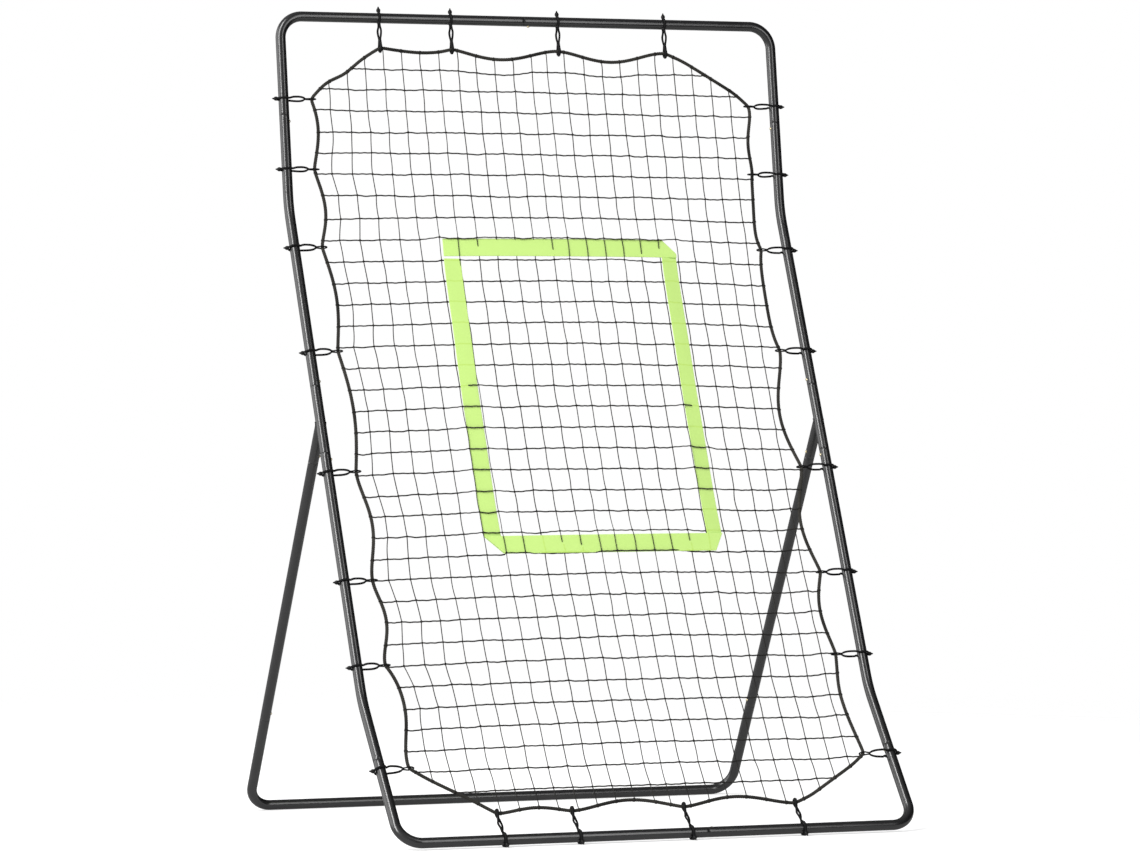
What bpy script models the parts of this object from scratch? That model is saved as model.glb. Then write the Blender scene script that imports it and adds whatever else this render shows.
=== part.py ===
"""Knock-down baseball rebounder: a bent tube frame on a rear U stand, with a net on elastic loops.

X runs across the frame, Y from front to back and Z up. The origin is on the floor, in the middle of the
footprint. Lengths are in metres. Places on the frame are given as (u, s): u across from the middle, and s
up along the bent side tubes from the bottom bar's axis.
"""

import math

import bmesh
import bpy
from mathutils import Matrix, Vector

# Tubes
FRAME_WIDTH = 1.160  # between the side tubes' axes
BOTTOM_LENGTH = 0.3588  # bottom bar's axis to the lower bend
MIDDLE_LENGTH = 1.1359  # lower bend to the upper bend
TOP_LENGTH = 0.4200  # upper bend to the top bar's axis
BOTTOM_SLOPE = math.radians(50.25)  # from the floor
MIDDLE_SLOPE = math.radians(65.65)
TOP_SLOPE = math.radians(81.75)
BEND_RADIUS = 0.230
CORNER_RADIUS = 0.050
TUBE_DIAMETER = 0.022
TUBE_WALL = 0.0010
TUBE_SIDES = 10
CORNER_STEPS = 6
BEND_STEPS = 3

# Where the tubes plug together, measured as s, as u on a bar, or down a leg from the side tube's axis
UPPER_SEAM = 1.695
LOWER_BRANCH_SEAM = 0.917
BRANCH_LENGTH = 0.155
BRANCH_TO_LEG = 0.0724  # from the lower branch seam up to the leg's axis
LOWER_SEAM = 0.206
TOP_BAR_SEAM = -0.015
BOTTOM_BAR_SEAM = 0.102
LEG_LENGTH = 0.9816
LEG_SOCKET_SEAM = 0.096
LEG_LOWER_SEAM = 0.751
SPIGOT_LENGTH = 0.050
SHOULDER_LENGTH = 0.0015
FIT = 0.0003  # gap between touching pieces

# Snap buttons
BUTTON_DIAMETER = 0.0064
BUTTON_REACH = 0.0135  # from the tube's axis to the top of the dome
BUTTON_FROM_SEAM = 0.0125
BUTTON_SIDES = 8
LEAF_WIDTH = 0.0060
LEAF_THICKNESS = 0.0008
LEAF_LENGTH = 0.0295
LEAF_SEAT = 0.0009  # from the spigot's bore to the leaf
BUTTON_TRAVEL = 0.0045

# Edge rope, elastic loops and their beads
ROPE_DIAMETER = 0.006
CORD_DIAMETER = 0.0035
SIDE_INSET = 0.0627  # tube axis to rope, at a loop
BAR_INSET = 0.0655
SEAM_TO_LOOP = (-0.020, -0.041, 0.083, 0.037)  # from the lower, lower branch, middle and upper seams
LOWER_LOOPS = (0.437, 0.628)
UPPER_LOOPS = (1.400, 1.578)
BAR_LOOPS = (-0.352, -0.185, 0.067, 0.322)
LEFT_SAGS = (0.025, 0.019, 0.021, 0.017, 0.018, 0.020, 0.012)
RIGHT_SAGS = (0.012, 0.017, 0.024, 0.027, 0.012, 0.007, 0.005)
TOP_SAGS = (0.010, 0.021, 0.022)
BOTTOM_SAGS = (0.012, 0.022, 0.022)
SAG_STEPS = 3
CORNER_RUN_OUT = 0.008  # straight rope past a corner's loop
WRAP_STEP = math.radians(45)
HOOK_CLEARANCE = 0.0007  # rope to the elastic round it
HOOK_ROOM = 0.0060  # rope to the net where the elastic passes between them
BEAD_DIP = math.radians(30)  # the bottom bar's beads are turned forward, clear of the floor
BEAD_PROFILE = ((0.0122, 0.0034), (0.0150, 0.0047), (0.0195, 0.0042), (0.0265, 0.0010))
BEAD_SIDES = 6
CORD_LEAN = 0.0055  # along the tube, between a loop's middle and each strand
BEAD_LEAN = 0.0019
PINCH_SHARE = 0.66  # of the way from tube to rope, where the two strands meet

# Net and strike zone strap
NET_COLUMNS = 11
NET_SIDE = 0.470  # outermost upright strands, from the middle
NET_BOTTOM = 0.130
NET_TOP = 1.790
LOWER_NET_ROWS = 3  # from the bottom strand to the lower bend, both counted
MIDDLE_NET_ROWS = 12  # from bend to bend
UPPER_NET_ROWS = 4  # from the upper bend to the top strand
STRAND_WIDTH = 0.0024
STRAND_THICKNESS = 0.0022
NET_BELLY = 0.026  # how far the net's middle stands in front of the frame's surface
ZONE_LEFT = -0.252
ZONE_RIGHT = 0.298
ZONE_BOTTOM = 0.673
ZONE_TOP = 1.414
STRAP_WIDTH = 0.040
STRAP_THICKNESS = 0.0012
STRAP_FOLD = 0.030
STRAP_END_GAP = 0.0075
STRAP_PANEL = 0.075
STRAP_GAP = 0.0007  # net to strap, both drawn as flat panels on a curved surface

HALF_WIDTH = FRAME_WIDTH / 2
MIDDLE_SEAM = LOWER_BRANCH_SEAM + BRANCH_LENGTH
LEG_ROOT = LOWER_BRANCH_SEAM + BRANCH_TO_LEG
SIDE_LOOPS = (
    LOWER_SEAM + SEAM_TO_LOOP[0],
    *LOWER_LOOPS,
    LOWER_BRANCH_SEAM + SEAM_TO_LOOP[1],
    MIDDLE_SEAM + SEAM_TO_LOOP[2],
    *UPPER_LOOPS,
    UPPER_SEAM + SEAM_TO_LOOP[3],
)
OUTER = TUBE_DIAMETER / 2
FLAT_TO_CORNER = 1 / math.cos(math.pi / TUBE_SIDES)
SPIGOT = OUTER - TUBE_WALL - FIT
SPIGOT_BORE = SPIGOT - TUBE_WALL
CORD = CORD_DIAMETER / 2
ROPE = ROPE_DIAMETER / 2
WRAP = OUTER * FLAT_TO_CORNER + CORD + FIT
FRONT_AXIS_HEIGHT = WRAP + 0.7 * CORD  # the loops under the bar are pressed flat on the floor
REAR_AXIS_HEIGHT = OUTER


def clear_scene():
    for item in list(bpy.data.objects):
        bpy.data.objects.remove(item, do_unlink=True)


def collection(name):
    found = bpy.data.collections.new(name)
    bpy.context.scene.collection.children.link(found)
    return found


def material(name, colour, roughness, metallic=0.0):
    made = bpy.data.materials.new(name)
    made.use_nodes = True
    shader = made.node_tree.nodes["Principled BSDF"]
    shader.inputs["Base Color"].default_value = (*colour, 1.0)
    shader.inputs["Roughness"].default_value = roughness
    shader.inputs["Metallic"].default_value = metallic
    made.diffuse_color = (*colour, 1.0)
    return made


clear_scene()
PARTS = collection("baseball_rebounder")
CUTTERS = collection("cutters")
PAINT = material("powder_coated_steel", (0.035, 0.035, 0.037), 0.38, 0.2)
BRASS = material("plated_snap_button", (0.72, 0.55, 0.28), 0.30, 0.9)
ELASTIC = material("black_elastic_cord", (0.012, 0.012, 0.013), 0.75)
ROPE_YARN = material("charcoal_edge_rope", (0.030, 0.030, 0.028), 0.85)
NET_YARN = material("charcoal_net_cord", (0.045, 0.045, 0.042), 0.85)
STRAP = material("lime_webbing", (0.61, 0.90, 0.23), 0.70)


# Frame surface


def frame_line(s):
    """The side tubes' axis as (y, z, slope), from the bottom bar's axis."""
    runs = (BOTTOM_LENGTH, MIDDLE_LENGTH, TOP_LENGTH)
    slopes = (BOTTOM_SLOPE, MIDDLE_SLOPE, TOP_SLOPE)
    trims = [BEND_RADIUS * math.tan((b - a) / 2) for a, b in zip(slopes, slopes[1:])]
    trims = [0.0, *trims, 0.0]
    y = z = 0.0
    for i, (run, slope) in enumerate(zip(runs, slopes)):
        straight = run - trims[i] - trims[i + 1]
        last = i == len(runs) - 1
        step = s if last or s < straight else straight
        y += step * math.cos(slope)
        z += step * math.sin(slope)
        s -= step
        if last or s <= 0:
            return y, z, slope
        turn = min(s / BEND_RADIUS, slopes[i + 1] - slope)
        y += BEND_RADIUS * (math.sin(slope + turn) - math.sin(slope))
        z += BEND_RADIUS * (math.cos(slope) - math.cos(slope + turn))
        s -= BEND_RADIUS * turn
        if s <= 1e-9:
            return y, z, slope + turn


def bend_span(i):
    """Where the i-th bend begins and ends, as s."""
    slopes = (BOTTOM_SLOPE, MIDDLE_SLOPE, TOP_SLOPE)
    turns = [b - a for a, b in zip(slopes, slopes[1:])]
    trims = [BEND_RADIUS * math.tan(turn / 2) for turn in turns]
    start = BOTTOM_LENGTH - trims[0]
    if i == 1:
        start += BEND_RADIUS * turns[0] + MIDDLE_LENGTH - trims[0] - trims[1]
    return start, start + BEND_RADIUS * turns[i]


def frame_length():
    return bend_span(1)[1] + TOP_LENGTH - BEND_RADIUS * math.tan((TOP_SLOPE - MIDDLE_SLOPE) / 2)


FRAME_LENGTH = frame_length()


def rear_axis():
    """The rear bar's axis as (y, z), from the bottom bar's axis."""
    y, z, _ = frame_line(LEG_ROOT)
    drop = z + FRONT_AXIS_HEIGHT - REAR_AXIS_HEIGHT
    return y + math.sqrt(LEG_LENGTH**2 - drop**2), z - drop


def bead_reach():
    """How far a bottom bead's tip stands in front of the bottom bar's axis."""
    tip, radius = BEAD_PROFILE[-1]
    return tip * math.cos(BEAD_DIP) + radius * math.sin(BEAD_DIP)


REAR_Y, REAR_Z = rear_axis()
FRONT_Y = -(REAR_Y + OUTER * FLAT_TO_CORNER - bead_reach()) / 2


def surface(u, s, lift=0.0):
    """A point on the frame's bent surface, lift metres in front of it."""
    y, z, slope = frame_line(s)
    return Vector((u, FRONT_Y + y - lift * math.sin(slope), FRONT_AXIS_HEIGHT + z + lift * math.cos(slope)))


def along(s):
    slope = frame_line(s)[2]
    return Vector((0, math.cos(slope), math.sin(slope)))


def facing(s):
    slope = frame_line(s)[2]
    return Vector((0, -math.sin(slope), math.cos(slope)))


def leg_point(side, t):
    """A point on a leg's axis, t metres down from the side tube's axis."""
    top = surface(side * HALF_WIDTH, LEG_ROOT)
    foot = Vector((side * HALF_WIDTH, FRONT_Y + REAR_Y, REAR_AXIS_HEIGHT))
    return top.lerp(foot, t / LEG_LENGTH)


def belly(u, s):
    """How far the net stands in front of the frame's surface."""
    across = max(0.0, 1 - (u / (HALF_WIDTH - SIDE_INSET)) ** 2)
    up = (s - BAR_INSET) / (FRAME_LENGTH - 2 * BAR_INSET)
    return NET_BELLY * across * max(0.0, 4 * up * (1 - up))


# Modelling helpers


def add(name, mesh, look, target=PARTS):
    made = bpy.data.objects.new(name, mesh)
    target.objects.link(made)
    if look:
        mesh.materials.clear()
        mesh.materials.append(look)
    return made


def cutter(name, mesh):
    made = add(name, mesh, None, CUTTERS)
    made.hide_render = True
    made.display_type = "WIRE"
    return made


def swept(points, radii, sides, capped, closed=False, twist="Z_UP"):
    """A mesh tube along points, with a radius for each point, measured to its corners."""
    curve = bpy.data.curves.new("sweep", "CURVE")
    curve.dimensions = "3D"
    curve.twist_mode = twist
    curve.bevel_depth = 1.0
    curve.bevel_resolution = sides // 2 - 2
    curve.use_fill_caps = capped
    line = curve.splines.new("POLY")
    line.points.add(len(points) - 1)
    line.use_cyclic_u = closed
    for knot, point, radius in zip(line.points, points, radii):
        knot.co = (*point, 1)
        knot.radius = radius
    guide = bpy.data.objects.new("sweep", curve)
    CUTTERS.objects.link(guide)
    mesh = bpy.data.meshes.new_from_object(guide.evaluated_get(bpy.context.evaluated_depsgraph_get()))
    bpy.data.objects.remove(guide)
    shape = bmesh.new()
    shape.from_mesh(mesh)
    bmesh.ops.remove_doubles(shape, verts=shape.verts, dist=1e-6)
    bmesh.ops.recalc_face_normals(shape, faces=shape.faces)
    if not capped and not closed:
        point_outwards(shape, points)
    shape.to_mesh(mesh)
    shape.free()
    mesh.shade_smooth()
    mesh.set_sharp_from_angle(angle=math.radians(50))
    return mesh


def point_outwards(shape, points):
    """An open tube's normals, turned away from its axis."""
    face = shape.faces[0]
    centre = face.calc_center_median()
    nearest = min(points, key=lambda point: (point - centre).length)
    if face.normal.dot(centre - nearest) < 0:
        bmesh.ops.reverse_faces(shape, faces=shape.faces)


def wall(item, thickness=TUBE_WALL):
    shell = item.modifiers.new("wall", "SOLIDIFY")
    shell.thickness = thickness
    shell.offset = -1
    shell.use_even_offset = True


def boolean(item, other, operation="DIFFERENCE"):
    cut = item.modifiers.new(operation.lower(), "BOOLEAN")
    cut.operation = operation
    cut.object = other


def made_mesh(item):
    """The mesh of an object with its modifiers applied."""
    graph = bpy.context.evaluated_depsgraph_get()
    graph.update()
    return bpy.data.meshes.new_from_object(item.evaluated_get(graph))


# Tubes


def spigot_end(point, outward):
    """Points and radii, in flats, of a tube end that plugs into its neighbour at point."""
    return [
        (point - outward * SHOULDER_LENGTH, OUTER),
        (point - outward * FIT / 2, SPIGOT),
        (point + outward * SPIGOT_LENGTH, SPIGOT),
    ]


def socket_end(point, outward):
    return [(point - outward * FIT / 2, OUTER)]


def tube_line(points, start, finish):
    """Points and radii of a tube whose first and last points are seams."""
    first = start(points[0], (points[0] - points[1]).normalized())
    last = finish(points[-1], (points[-1] - points[-2]).normalized())
    middle = [(point, OUTER) for point in points[1:-1]]
    return list(reversed(first)) + middle + last


def tube(name, points, start, finish, holes=()):
    line = tube_line(points, start, finish)
    radii = [radius * FLAT_TO_CORNER for _, radius in line]
    made = add(name, swept([point for point, _ in line], radii, TUBE_SIDES, capped=False), PAINT)
    wall(made)
    for hole in holes:
        boolean(made, hole)
    return made


def side_line(side, low, high):
    """The side tube's axis between two places, with points along each bend between them."""
    places = [low]
    for i in (0, 1):
        start, end = bend_span(i)
        if low < start and end < high:
            places += [start + (end - start) * k / BEND_STEPS for k in range(BEND_STEPS + 1)]
    return [surface(side * HALF_WIDTH, s) for s in (*places, high)]


def corner_line(side, top):
    """The frame's axis round a corner, from the side tube to the bar."""
    points = []
    for k in range(CORNER_STEPS + 1):
        turn = math.pi / 2 * k / CORNER_STEPS
        u = side * (HALF_WIDTH - CORNER_RADIUS * (1 - math.cos(turn)))
        s = CORNER_RADIUS * (1 - math.sin(turn))
        points.append(surface(u, FRAME_LENGTH - s if top else s))
    return points


def rear_corner_line(side):
    """The rear bar's axis round a corner, from the leg to the bar."""
    foot = leg_point(side, LEG_LENGTH)
    up = (leg_point(side, 0) - foot).normalized()
    inward = Vector((-side, 0, 0))
    points = []
    for k in range(CORNER_STEPS + 1):
        turn = math.pi / 2 * k / CORNER_STEPS
        rise = CORNER_RADIUS * (1 - math.sin(turn))
        points.append(foot + up * rise + inward * CORNER_RADIUS * (1 - math.cos(turn)))
    return points


# Snap buttons: name, seat on the tube's axis, outward direction and the way the spigot points


def button_seats():
    seats = {}
    for side, word in ((-1, "left"), (1, "right")):
        inward = Vector((-side, 0, 0))
        for name, seam, way in (
            ("upper", UPPER_SEAM, -1),
            ("middle", MIDDLE_SEAM, 1),
            ("lower_branch", LOWER_BRANCH_SEAM, -1),
            ("lower", LOWER_SEAM, -1),
        ):
            place = seam + way * BUTTON_FROM_SEAM
            seats[f"{name}_{word}"] = (surface(side * HALF_WIDTH, place), inward, along(place) * way)
        down = (leg_point(side, LEG_LENGTH) - leg_point(side, 0)).normalized()
        for name, seam in (("leg_socket", LEG_SOCKET_SEAM), ("rear_leg", LEG_LOWER_SEAM)):
            seats[f"{name}_{word}"] = (leg_point(side, seam - BUTTON_FROM_SEAM), inward, -down)
    for name, s, seam, inward in (
        ("top_bar", FRAME_LENGTH, TOP_BAR_SEAM, -along(FRAME_LENGTH)),
        ("bottom_bar", 0.0, BOTTOM_BAR_SEAM, along(0.0)),
    ):
        seats[name] = (surface(seam + BUTTON_FROM_SEAM, s), inward, Vector((1, 0, 0)))
    return seats


def seat_matrix(seat, outward, ahead):
    """The clip's own frame: X along the spigot to its tip, Z out through the button."""
    across = outward.cross(ahead)
    turn = Matrix((ahead, across, outward)).transposed()
    return Matrix.Translation(seat) @ turn.to_4x4()


SEATS = button_seats()


def button_hole(name):
    radius = (BUTTON_DIAMETER / 2 + FIT) / math.cos(math.pi / BUTTON_SIDES)
    shape = bmesh.new()
    inner, outer = 0.5 * SPIGOT_BORE, 1.5 * OUTER
    bmesh.ops.create_cone(
        shape, cap_ends=True, segments=BUTTON_SIDES, radius1=radius, radius2=radius, depth=outer - inner
    )
    bmesh.ops.translate(shape, verts=shape.verts, vec=(0, 0, (inner + outer) / 2))
    half_side = Matrix.Rotation(math.pi / BUTTON_SIDES, 3, "Z")
    bmesh.ops.rotate(shape, verts=shape.verts, cent=(0, 0, 0), matrix=half_side)
    mesh = bpy.data.meshes.new(f"{name}_hole")
    shape.to_mesh(mesh)
    shape.free()
    made = cutter(f"{name}_hole", mesh)
    made.matrix_world = seat_matrix(*SEATS[name])
    return made


def snap_clip_mesh():
    """A domed button on one leg of a V spring, in the clip's own frame."""
    radius = BUTTON_DIAMETER / 2 / math.cos(math.pi / BUTTON_SIDES)
    seat = SPIGOT_BORE - LEAF_SEAT - LEAF_THICKNESS / 2
    shape = bmesh.new()
    profile = (
        (0.0, BUTTON_REACH),
        (0.65 * radius, BUTTON_REACH - 0.0004),
        (radius, BUTTON_REACH - 0.0015),
        (radius, seat),
        (0.0, seat),
    )
    corners = [shape.verts.new((r, 0, z)) for r, z in profile]
    for a, b in zip(corners, corners[1:]):
        shape.edges.new((a, b))
    mesh = bpy.data.meshes.new("button")
    shape.to_mesh(mesh)
    shape.free()
    button = cutter("button", mesh)
    turned = button.modifiers.new("turn", "SCREW")
    turned.steps = turned.render_steps = BUTTON_SIDES
    turned.use_merge_vertices = True
    turned.merge_threshold = 1e-5
    button.rotation_euler.z = math.pi / BUTTON_SIDES

    low = seat - 0.0100
    path = (
        (-0.0050, seat),
        (0.80 * LEAF_LENGTH, seat),
        (0.95 * LEAF_LENGTH, seat - 0.0012),
        (LEAF_LENGTH, seat - 0.0040),
        (0.93 * LEAF_LENGTH, seat - 0.0065),
        (0.75 * LEAF_LENGTH, seat - 0.0078),
        (-0.0040, low),
    )
    shape = bmesh.new()
    near = [shape.verts.new((x, -LEAF_WIDTH / 2, z)) for x, z in path]
    far = [shape.verts.new((x, LEAF_WIDTH / 2, z)) for x, z in path]
    for i in range(len(path) - 1):
        shape.faces.new((near[i], near[i + 1], far[i + 1], far[i]))
    mesh = bpy.data.meshes.new("leaf")
    shape.to_mesh(mesh)
    shape.free()
    leaf = cutter("leaf", mesh)
    thick = leaf.modifiers.new("sheet", "SOLIDIFY")
    thick.thickness = LEAF_THICKNESS
    thick.offset = 0
    thick.use_even_offset = True
    boolean(leaf, button, "UNION")
    mesh = made_mesh(leaf)
    mesh.name = "snap_clip"
    for item in (leaf, button):
        bpy.data.objects.remove(item)
    return mesh


def make_snap_clips():
    mesh = snap_clip_mesh()
    for name, seat in SEATS.items():
        clip = add(f"snap_button_{name}", mesh, None)
        clip.matrix_world = seat_matrix(*seat)
    mesh.materials.clear()
    mesh.materials.append(BRASS)


def make_frame():
    holes = {name: button_hole(name) for name in SEATS}
    for side, word in ((-1, "left"), (1, "right")):
        bar_end = spigot_end if side < 0 else socket_end
        edge = side * HALF_WIDTH
        upper, middle = holes[f"upper_{word}"], holes[f"middle_{word}"]
        branch, lower = holes[f"lower_branch_{word}"], holes[f"lower_{word}"]
        tube(
            f"{word}_top_corner_tube",
            [surface(edge, UPPER_SEAM), *corner_line(side, True), surface(TOP_BAR_SEAM, FRAME_LENGTH)],
            spigot_end,
            bar_end,
            (upper, holes["top_bar"]),
        )
        tube(
            f"{word}_upper_side_tube",
            side_line(side, MIDDLE_SEAM, UPPER_SEAM),
            socket_end,
            socket_end,
            (middle, upper),
        )
        tube(
            f"{word}_lower_side_tube",
            side_line(side, LOWER_SEAM, LOWER_BRANCH_SEAM),
            spigot_end,
            socket_end,
            (lower, branch),
        )
        tube(
            f"{word}_bottom_corner_tube",
            [surface(edge, LOWER_SEAM), *corner_line(side, False), surface(BOTTOM_BAR_SEAM, 0.0)],
            socket_end,
            bar_end,
            (lower, holes["bottom_bar"]),
        )
        tube(
            f"{word}_leg_tube",
            [leg_point(side, LEG_SOCKET_SEAM), leg_point(side, LEG_LOWER_SEAM)],
            spigot_end,
            socket_end,
            (holes[f"leg_socket_{word}"], holes[f"rear_leg_{word}"]),
        )
        make_branch_joint(side, word, (middle, branch, holes[f"leg_socket_{word}"]))
    left = [leg_point(-1, LEG_LOWER_SEAM), *rear_corner_line(-1)]
    right = [leg_point(1, LEG_LOWER_SEAM), *rear_corner_line(1)]
    tube(
        "rear_stand_tube",
        left + list(reversed(right)),
        spigot_end,
        spigot_end,
        (holes["rear_leg_left"], holes["rear_leg_right"]),
    )


def make_branch_joint(side, word, holes):
    """The side tube's short middle length, with the leg's socket welded to its back."""
    low = surface(side * HALF_WIDTH, LOWER_BRANCH_SEAM)
    high = surface(side * HALF_WIDTH, MIDDLE_SEAM)
    line = tube_line([low, high], spigot_end, spigot_end)
    points = [point for point, _ in line]
    outside = [radius * FLAT_TO_CORNER for _, radius in line]
    inside = [(radius - TUBE_WALL) * FLAT_TO_CORNER for _, radius in line]
    joint = add(f"{word}_branch_joint", swept(points, outside, TUBE_SIDES, capped=True), PAINT)
    past = (high - low).normalized() * 0.002
    bore = cutter(
        f"{word}_branch_bore",
        swept([points[0] - past, *points[1:-1], points[-1] + past], inside, TUBE_SIDES, capped=True),
    )
    neck = 0.8 * TUBE_DIAMETER
    corner = OUTER * FLAT_TO_CORNER
    stops = [leg_point(side, t) for t in (0.0, neck, LEG_SOCKET_SEAM - FIT / 2)]
    socket = cutter(
        f"{word}_branch_socket", swept(stops, [0.975 * corner, corner, corner], TUBE_SIDES, capped=True)
    )
    mouth = [leg_point(side, t) for t in (neck + 0.003, LEG_SOCKET_SEAM + 0.002)]
    inner_corner = (OUTER - TUBE_WALL) * FLAT_TO_CORNER
    socket_bore = cutter(f"{word}_branch_mouth", swept(mouth, [inner_corner] * 2, TUBE_SIDES, capped=True))
    boolean(joint, socket, "UNION")
    boolean(joint, bore)
    boolean(joint, socket_bore)
    for hole in holes:
        boolean(joint, hole)
    return joint


# Edge rope


def rope_route():
    """The edge rope's axis, clockwise from the left's lowest loop, as (u, s) and whether a loop is there."""
    side_u = HALF_WIDTH - SIDE_INSET
    low_s, high_s = BAR_INSET, FRAME_LENGTH - BAR_INSET
    left = [Vector((-side_u, s)) for s in SIDE_LOOPS]
    top = [Vector((u, high_s)) for u in BAR_LOOPS]
    right = [Vector((side_u, s)) for s in reversed(SIDE_LOOPS)]
    bottom = [Vector((u, low_s)) for u in reversed(BAR_LOOPS)]
    route = []
    for loops, sags, inward in (
        (left, LEFT_SAGS, Vector((1, 0))),
        (top, TOP_SAGS, Vector((0, -1))),
        (right, tuple(reversed(RIGHT_SAGS)), Vector((-1, 0))),
        (bottom, tuple(reversed(BOTTOM_SAGS)), Vector((0, 1))),
    ):
        run_out = CORNER_RUN_OUT * (loops[1] - loops[0]).normalized()
        route.append((loops[0] - run_out, False))
        for a, b, sag in zip(loops, loops[1:], sags):
            route.append((a, True))
            for k in range(1, SAG_STEPS):
                t = k / SAG_STEPS
                route.append((a.lerp(b, t) + inward * sag * math.sin(math.pi * t) ** 2, False))
        route.append((loops[-1], True))
        route.append((loops[-1] + run_out, False))
    return route


def net_outline(route):
    """The rope's route moved inwards: just clear of the rope, and at each loop clear of its hook."""
    points = [point for point, _ in route]
    moved = []
    for i, (point, at_loop) in enumerate(route):
        first = (point - points[i - 1]).normalized()
        second = (points[(i + 1) % len(points)] - point).normalized()
        a, b = Vector((first.y, -first.x)), Vector((second.y, -second.x))
        distance = ROPE + (HOOK_ROOM if at_loop else 3 * FIT)
        moved.append(point + (a + b) * distance / (1 + a.dot(b)))
    return moved


def make_rope(route):
    points = [surface(u, s, belly(u, s)) for (u, s), _ in route]
    mesh = swept(points, [ROPE] * len(points), 6, capped=False, closed=True, twist="MINIMUM")
    return add("edge_rope", mesh, ROPE_YARN)


# Elastic loops


def loop_route(reach, turn, lean):
    """An elastic loop's closed axis, in its tube's frame: X to the rope, Y along the tube, Z to the front."""
    bead = (math.pi - turn, -math.pi - turn)
    radius = WRAP / math.cos(WRAP_STEP / 2)
    inside = BEAD_PROFILE[2][0] - 0.002
    strands = []
    for start, way in zip(bead, (1, -1)):
        strand = [(inside * math.cos(start), way * BEAD_LEAN, inside * math.sin(start))]
        angle = start - way * WRAP_STEP
        while way * angle > math.radians(15):
            share = 1 - way * angle / math.pi
            y = way * (BEAD_LEAN + (CORD_LEAN - BEAD_LEAN) * min(1.0, 1.6 * share))
            strand.append((radius * math.cos(angle), y, radius * math.sin(angle)))
            angle -= way * WRAP_STEP
        strand.append((PINCH_SHARE * reach, way * 0.0004, way * 1.2 * CORD))
        strands.append(strand)
    hook = (ROPE + CORD + HOOK_CLEARANCE) / math.cos(math.radians(35))
    round_rope = []
    for degrees in (105, 35, -35, -105):
        angle = math.radians(degrees)
        round_rope.append((reach + hook * math.cos(angle), 0.0, hook * math.sin(angle)))
    route = strands[0] + round_rope + list(reversed(strands[1]))
    return [Vector((x, lean * y, z)) for x, y, z in route]


def bead_mesh(turn):
    shape = bmesh.new()
    corners = [shape.verts.new((radius, 0, reach)) for reach, radius in reversed(BEAD_PROFILE)]
    tip = shape.verts.new((0, 0, BEAD_PROFILE[-1][0]))
    base = shape.verts.new((0, 0, BEAD_PROFILE[0][0]))
    chain = [tip, *corners, base]
    for a, b in zip(chain, chain[1:]):
        shape.edges.new((a, b))
    mesh = bpy.data.meshes.new("bead")
    shape.to_mesh(mesh)
    shape.free()
    bead = cutter("bead", mesh)
    turned = bead.modifiers.new("turn", "SCREW")
    turned.steps = turned.render_steps = BEAD_SIDES
    turned.use_merge_vertices = True
    turned.merge_threshold = 1e-5
    bead.rotation_euler.y = -math.pi / 2 + turn
    return bead


def loop_mesh(reach, turn=0.0, lean=1, floor_angle=None):
    """One elastic loop with its bead, cut flat where it lies on the floor."""
    route = loop_route(reach, turn, lean)
    cord = cutter("loop", swept(route, [CORD] * len(route), 4, capped=False, closed=True, twist="MINIMUM"))
    bead = bead_mesh(turn)
    boolean(cord, bead, "UNION")
    mesh = made_mesh(cord)
    mesh.materials.clear()
    mesh.materials.append(ELASTIC)
    for item in (cord, bead):
        bpy.data.objects.remove(item)
    if floor_angle is not None:
        down = Vector((math.cos(floor_angle), 0, math.sin(floor_angle)))
        shape = bmesh.new()
        shape.from_mesh(mesh)
        cut = bmesh.ops.bisect_plane(
            shape,
            geom=[*shape.verts, *shape.edges, *shape.faces],
            dist=1e-6,
            plane_co=down * FRONT_AXIS_HEIGHT,
            plane_no=down,
            clear_outer=True,
        )
        rim = [item for item in cut["geom_cut"] if isinstance(item, bmesh.types.BMEdge)]
        bmesh.ops.holes_fill(shape, edges=rim)
        shape.to_mesh(mesh)
        shape.free()
    return mesh


def make_loops():
    left = loop_mesh(SIDE_INSET)
    right = loop_mesh(SIDE_INSET, lean=-1)
    top = loop_mesh(BAR_INSET)
    turn = BOTTOM_SLOPE - BEAD_DIP
    bottom = loop_mesh(BAR_INSET, turn=turn, floor_angle=-math.pi / 2 - BOTTOM_SLOPE)
    for number, s in enumerate(SIDE_LOOPS, 1):
        for side, word, mesh in ((-1, "left", left), (1, "right", right)):
            seat = surface(side * HALF_WIDTH, s)
            place_loop(f"elastic_loop_{word}_{number}", mesh, seat, Vector((-side, 0, 0)), s)
    for number, u in enumerate(BAR_LOOPS, 1):
        seat = surface(u, FRAME_LENGTH)
        place_loop(f"elastic_loop_top_{number}", top, seat, -along(FRAME_LENGTH), FRAME_LENGTH)
        place_loop(f"elastic_loop_bottom_{number}", bottom, surface(u, 0.0), along(0.0), 0.0)


def place_loop(name, mesh, seat, inward, s):
    front = facing(s)
    made = add(name, mesh, None)
    turn = Matrix((inward, front.cross(inward), front)).transposed()
    made.matrix_world = Matrix.Translation(seat) @ turn.to_4x4()
    return made


# Net and strap


def split(shape, place, axis, keep=0):
    """Cuts a flat sheet where one coordinate equals place; keep 1 or -1 drops what is below or above it."""
    normal = [0, 0, 0]
    normal[axis] = 1
    centre = [0, 0, 0]
    centre[axis] = place
    bmesh.ops.bisect_plane(
        shape,
        geom=[*shape.verts, *shape.edges, *shape.faces],
        dist=1e-6,
        plane_co=centre,
        plane_no=normal,
        clear_inner=keep > 0,
        clear_outer=keep < 0,
    )


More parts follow.
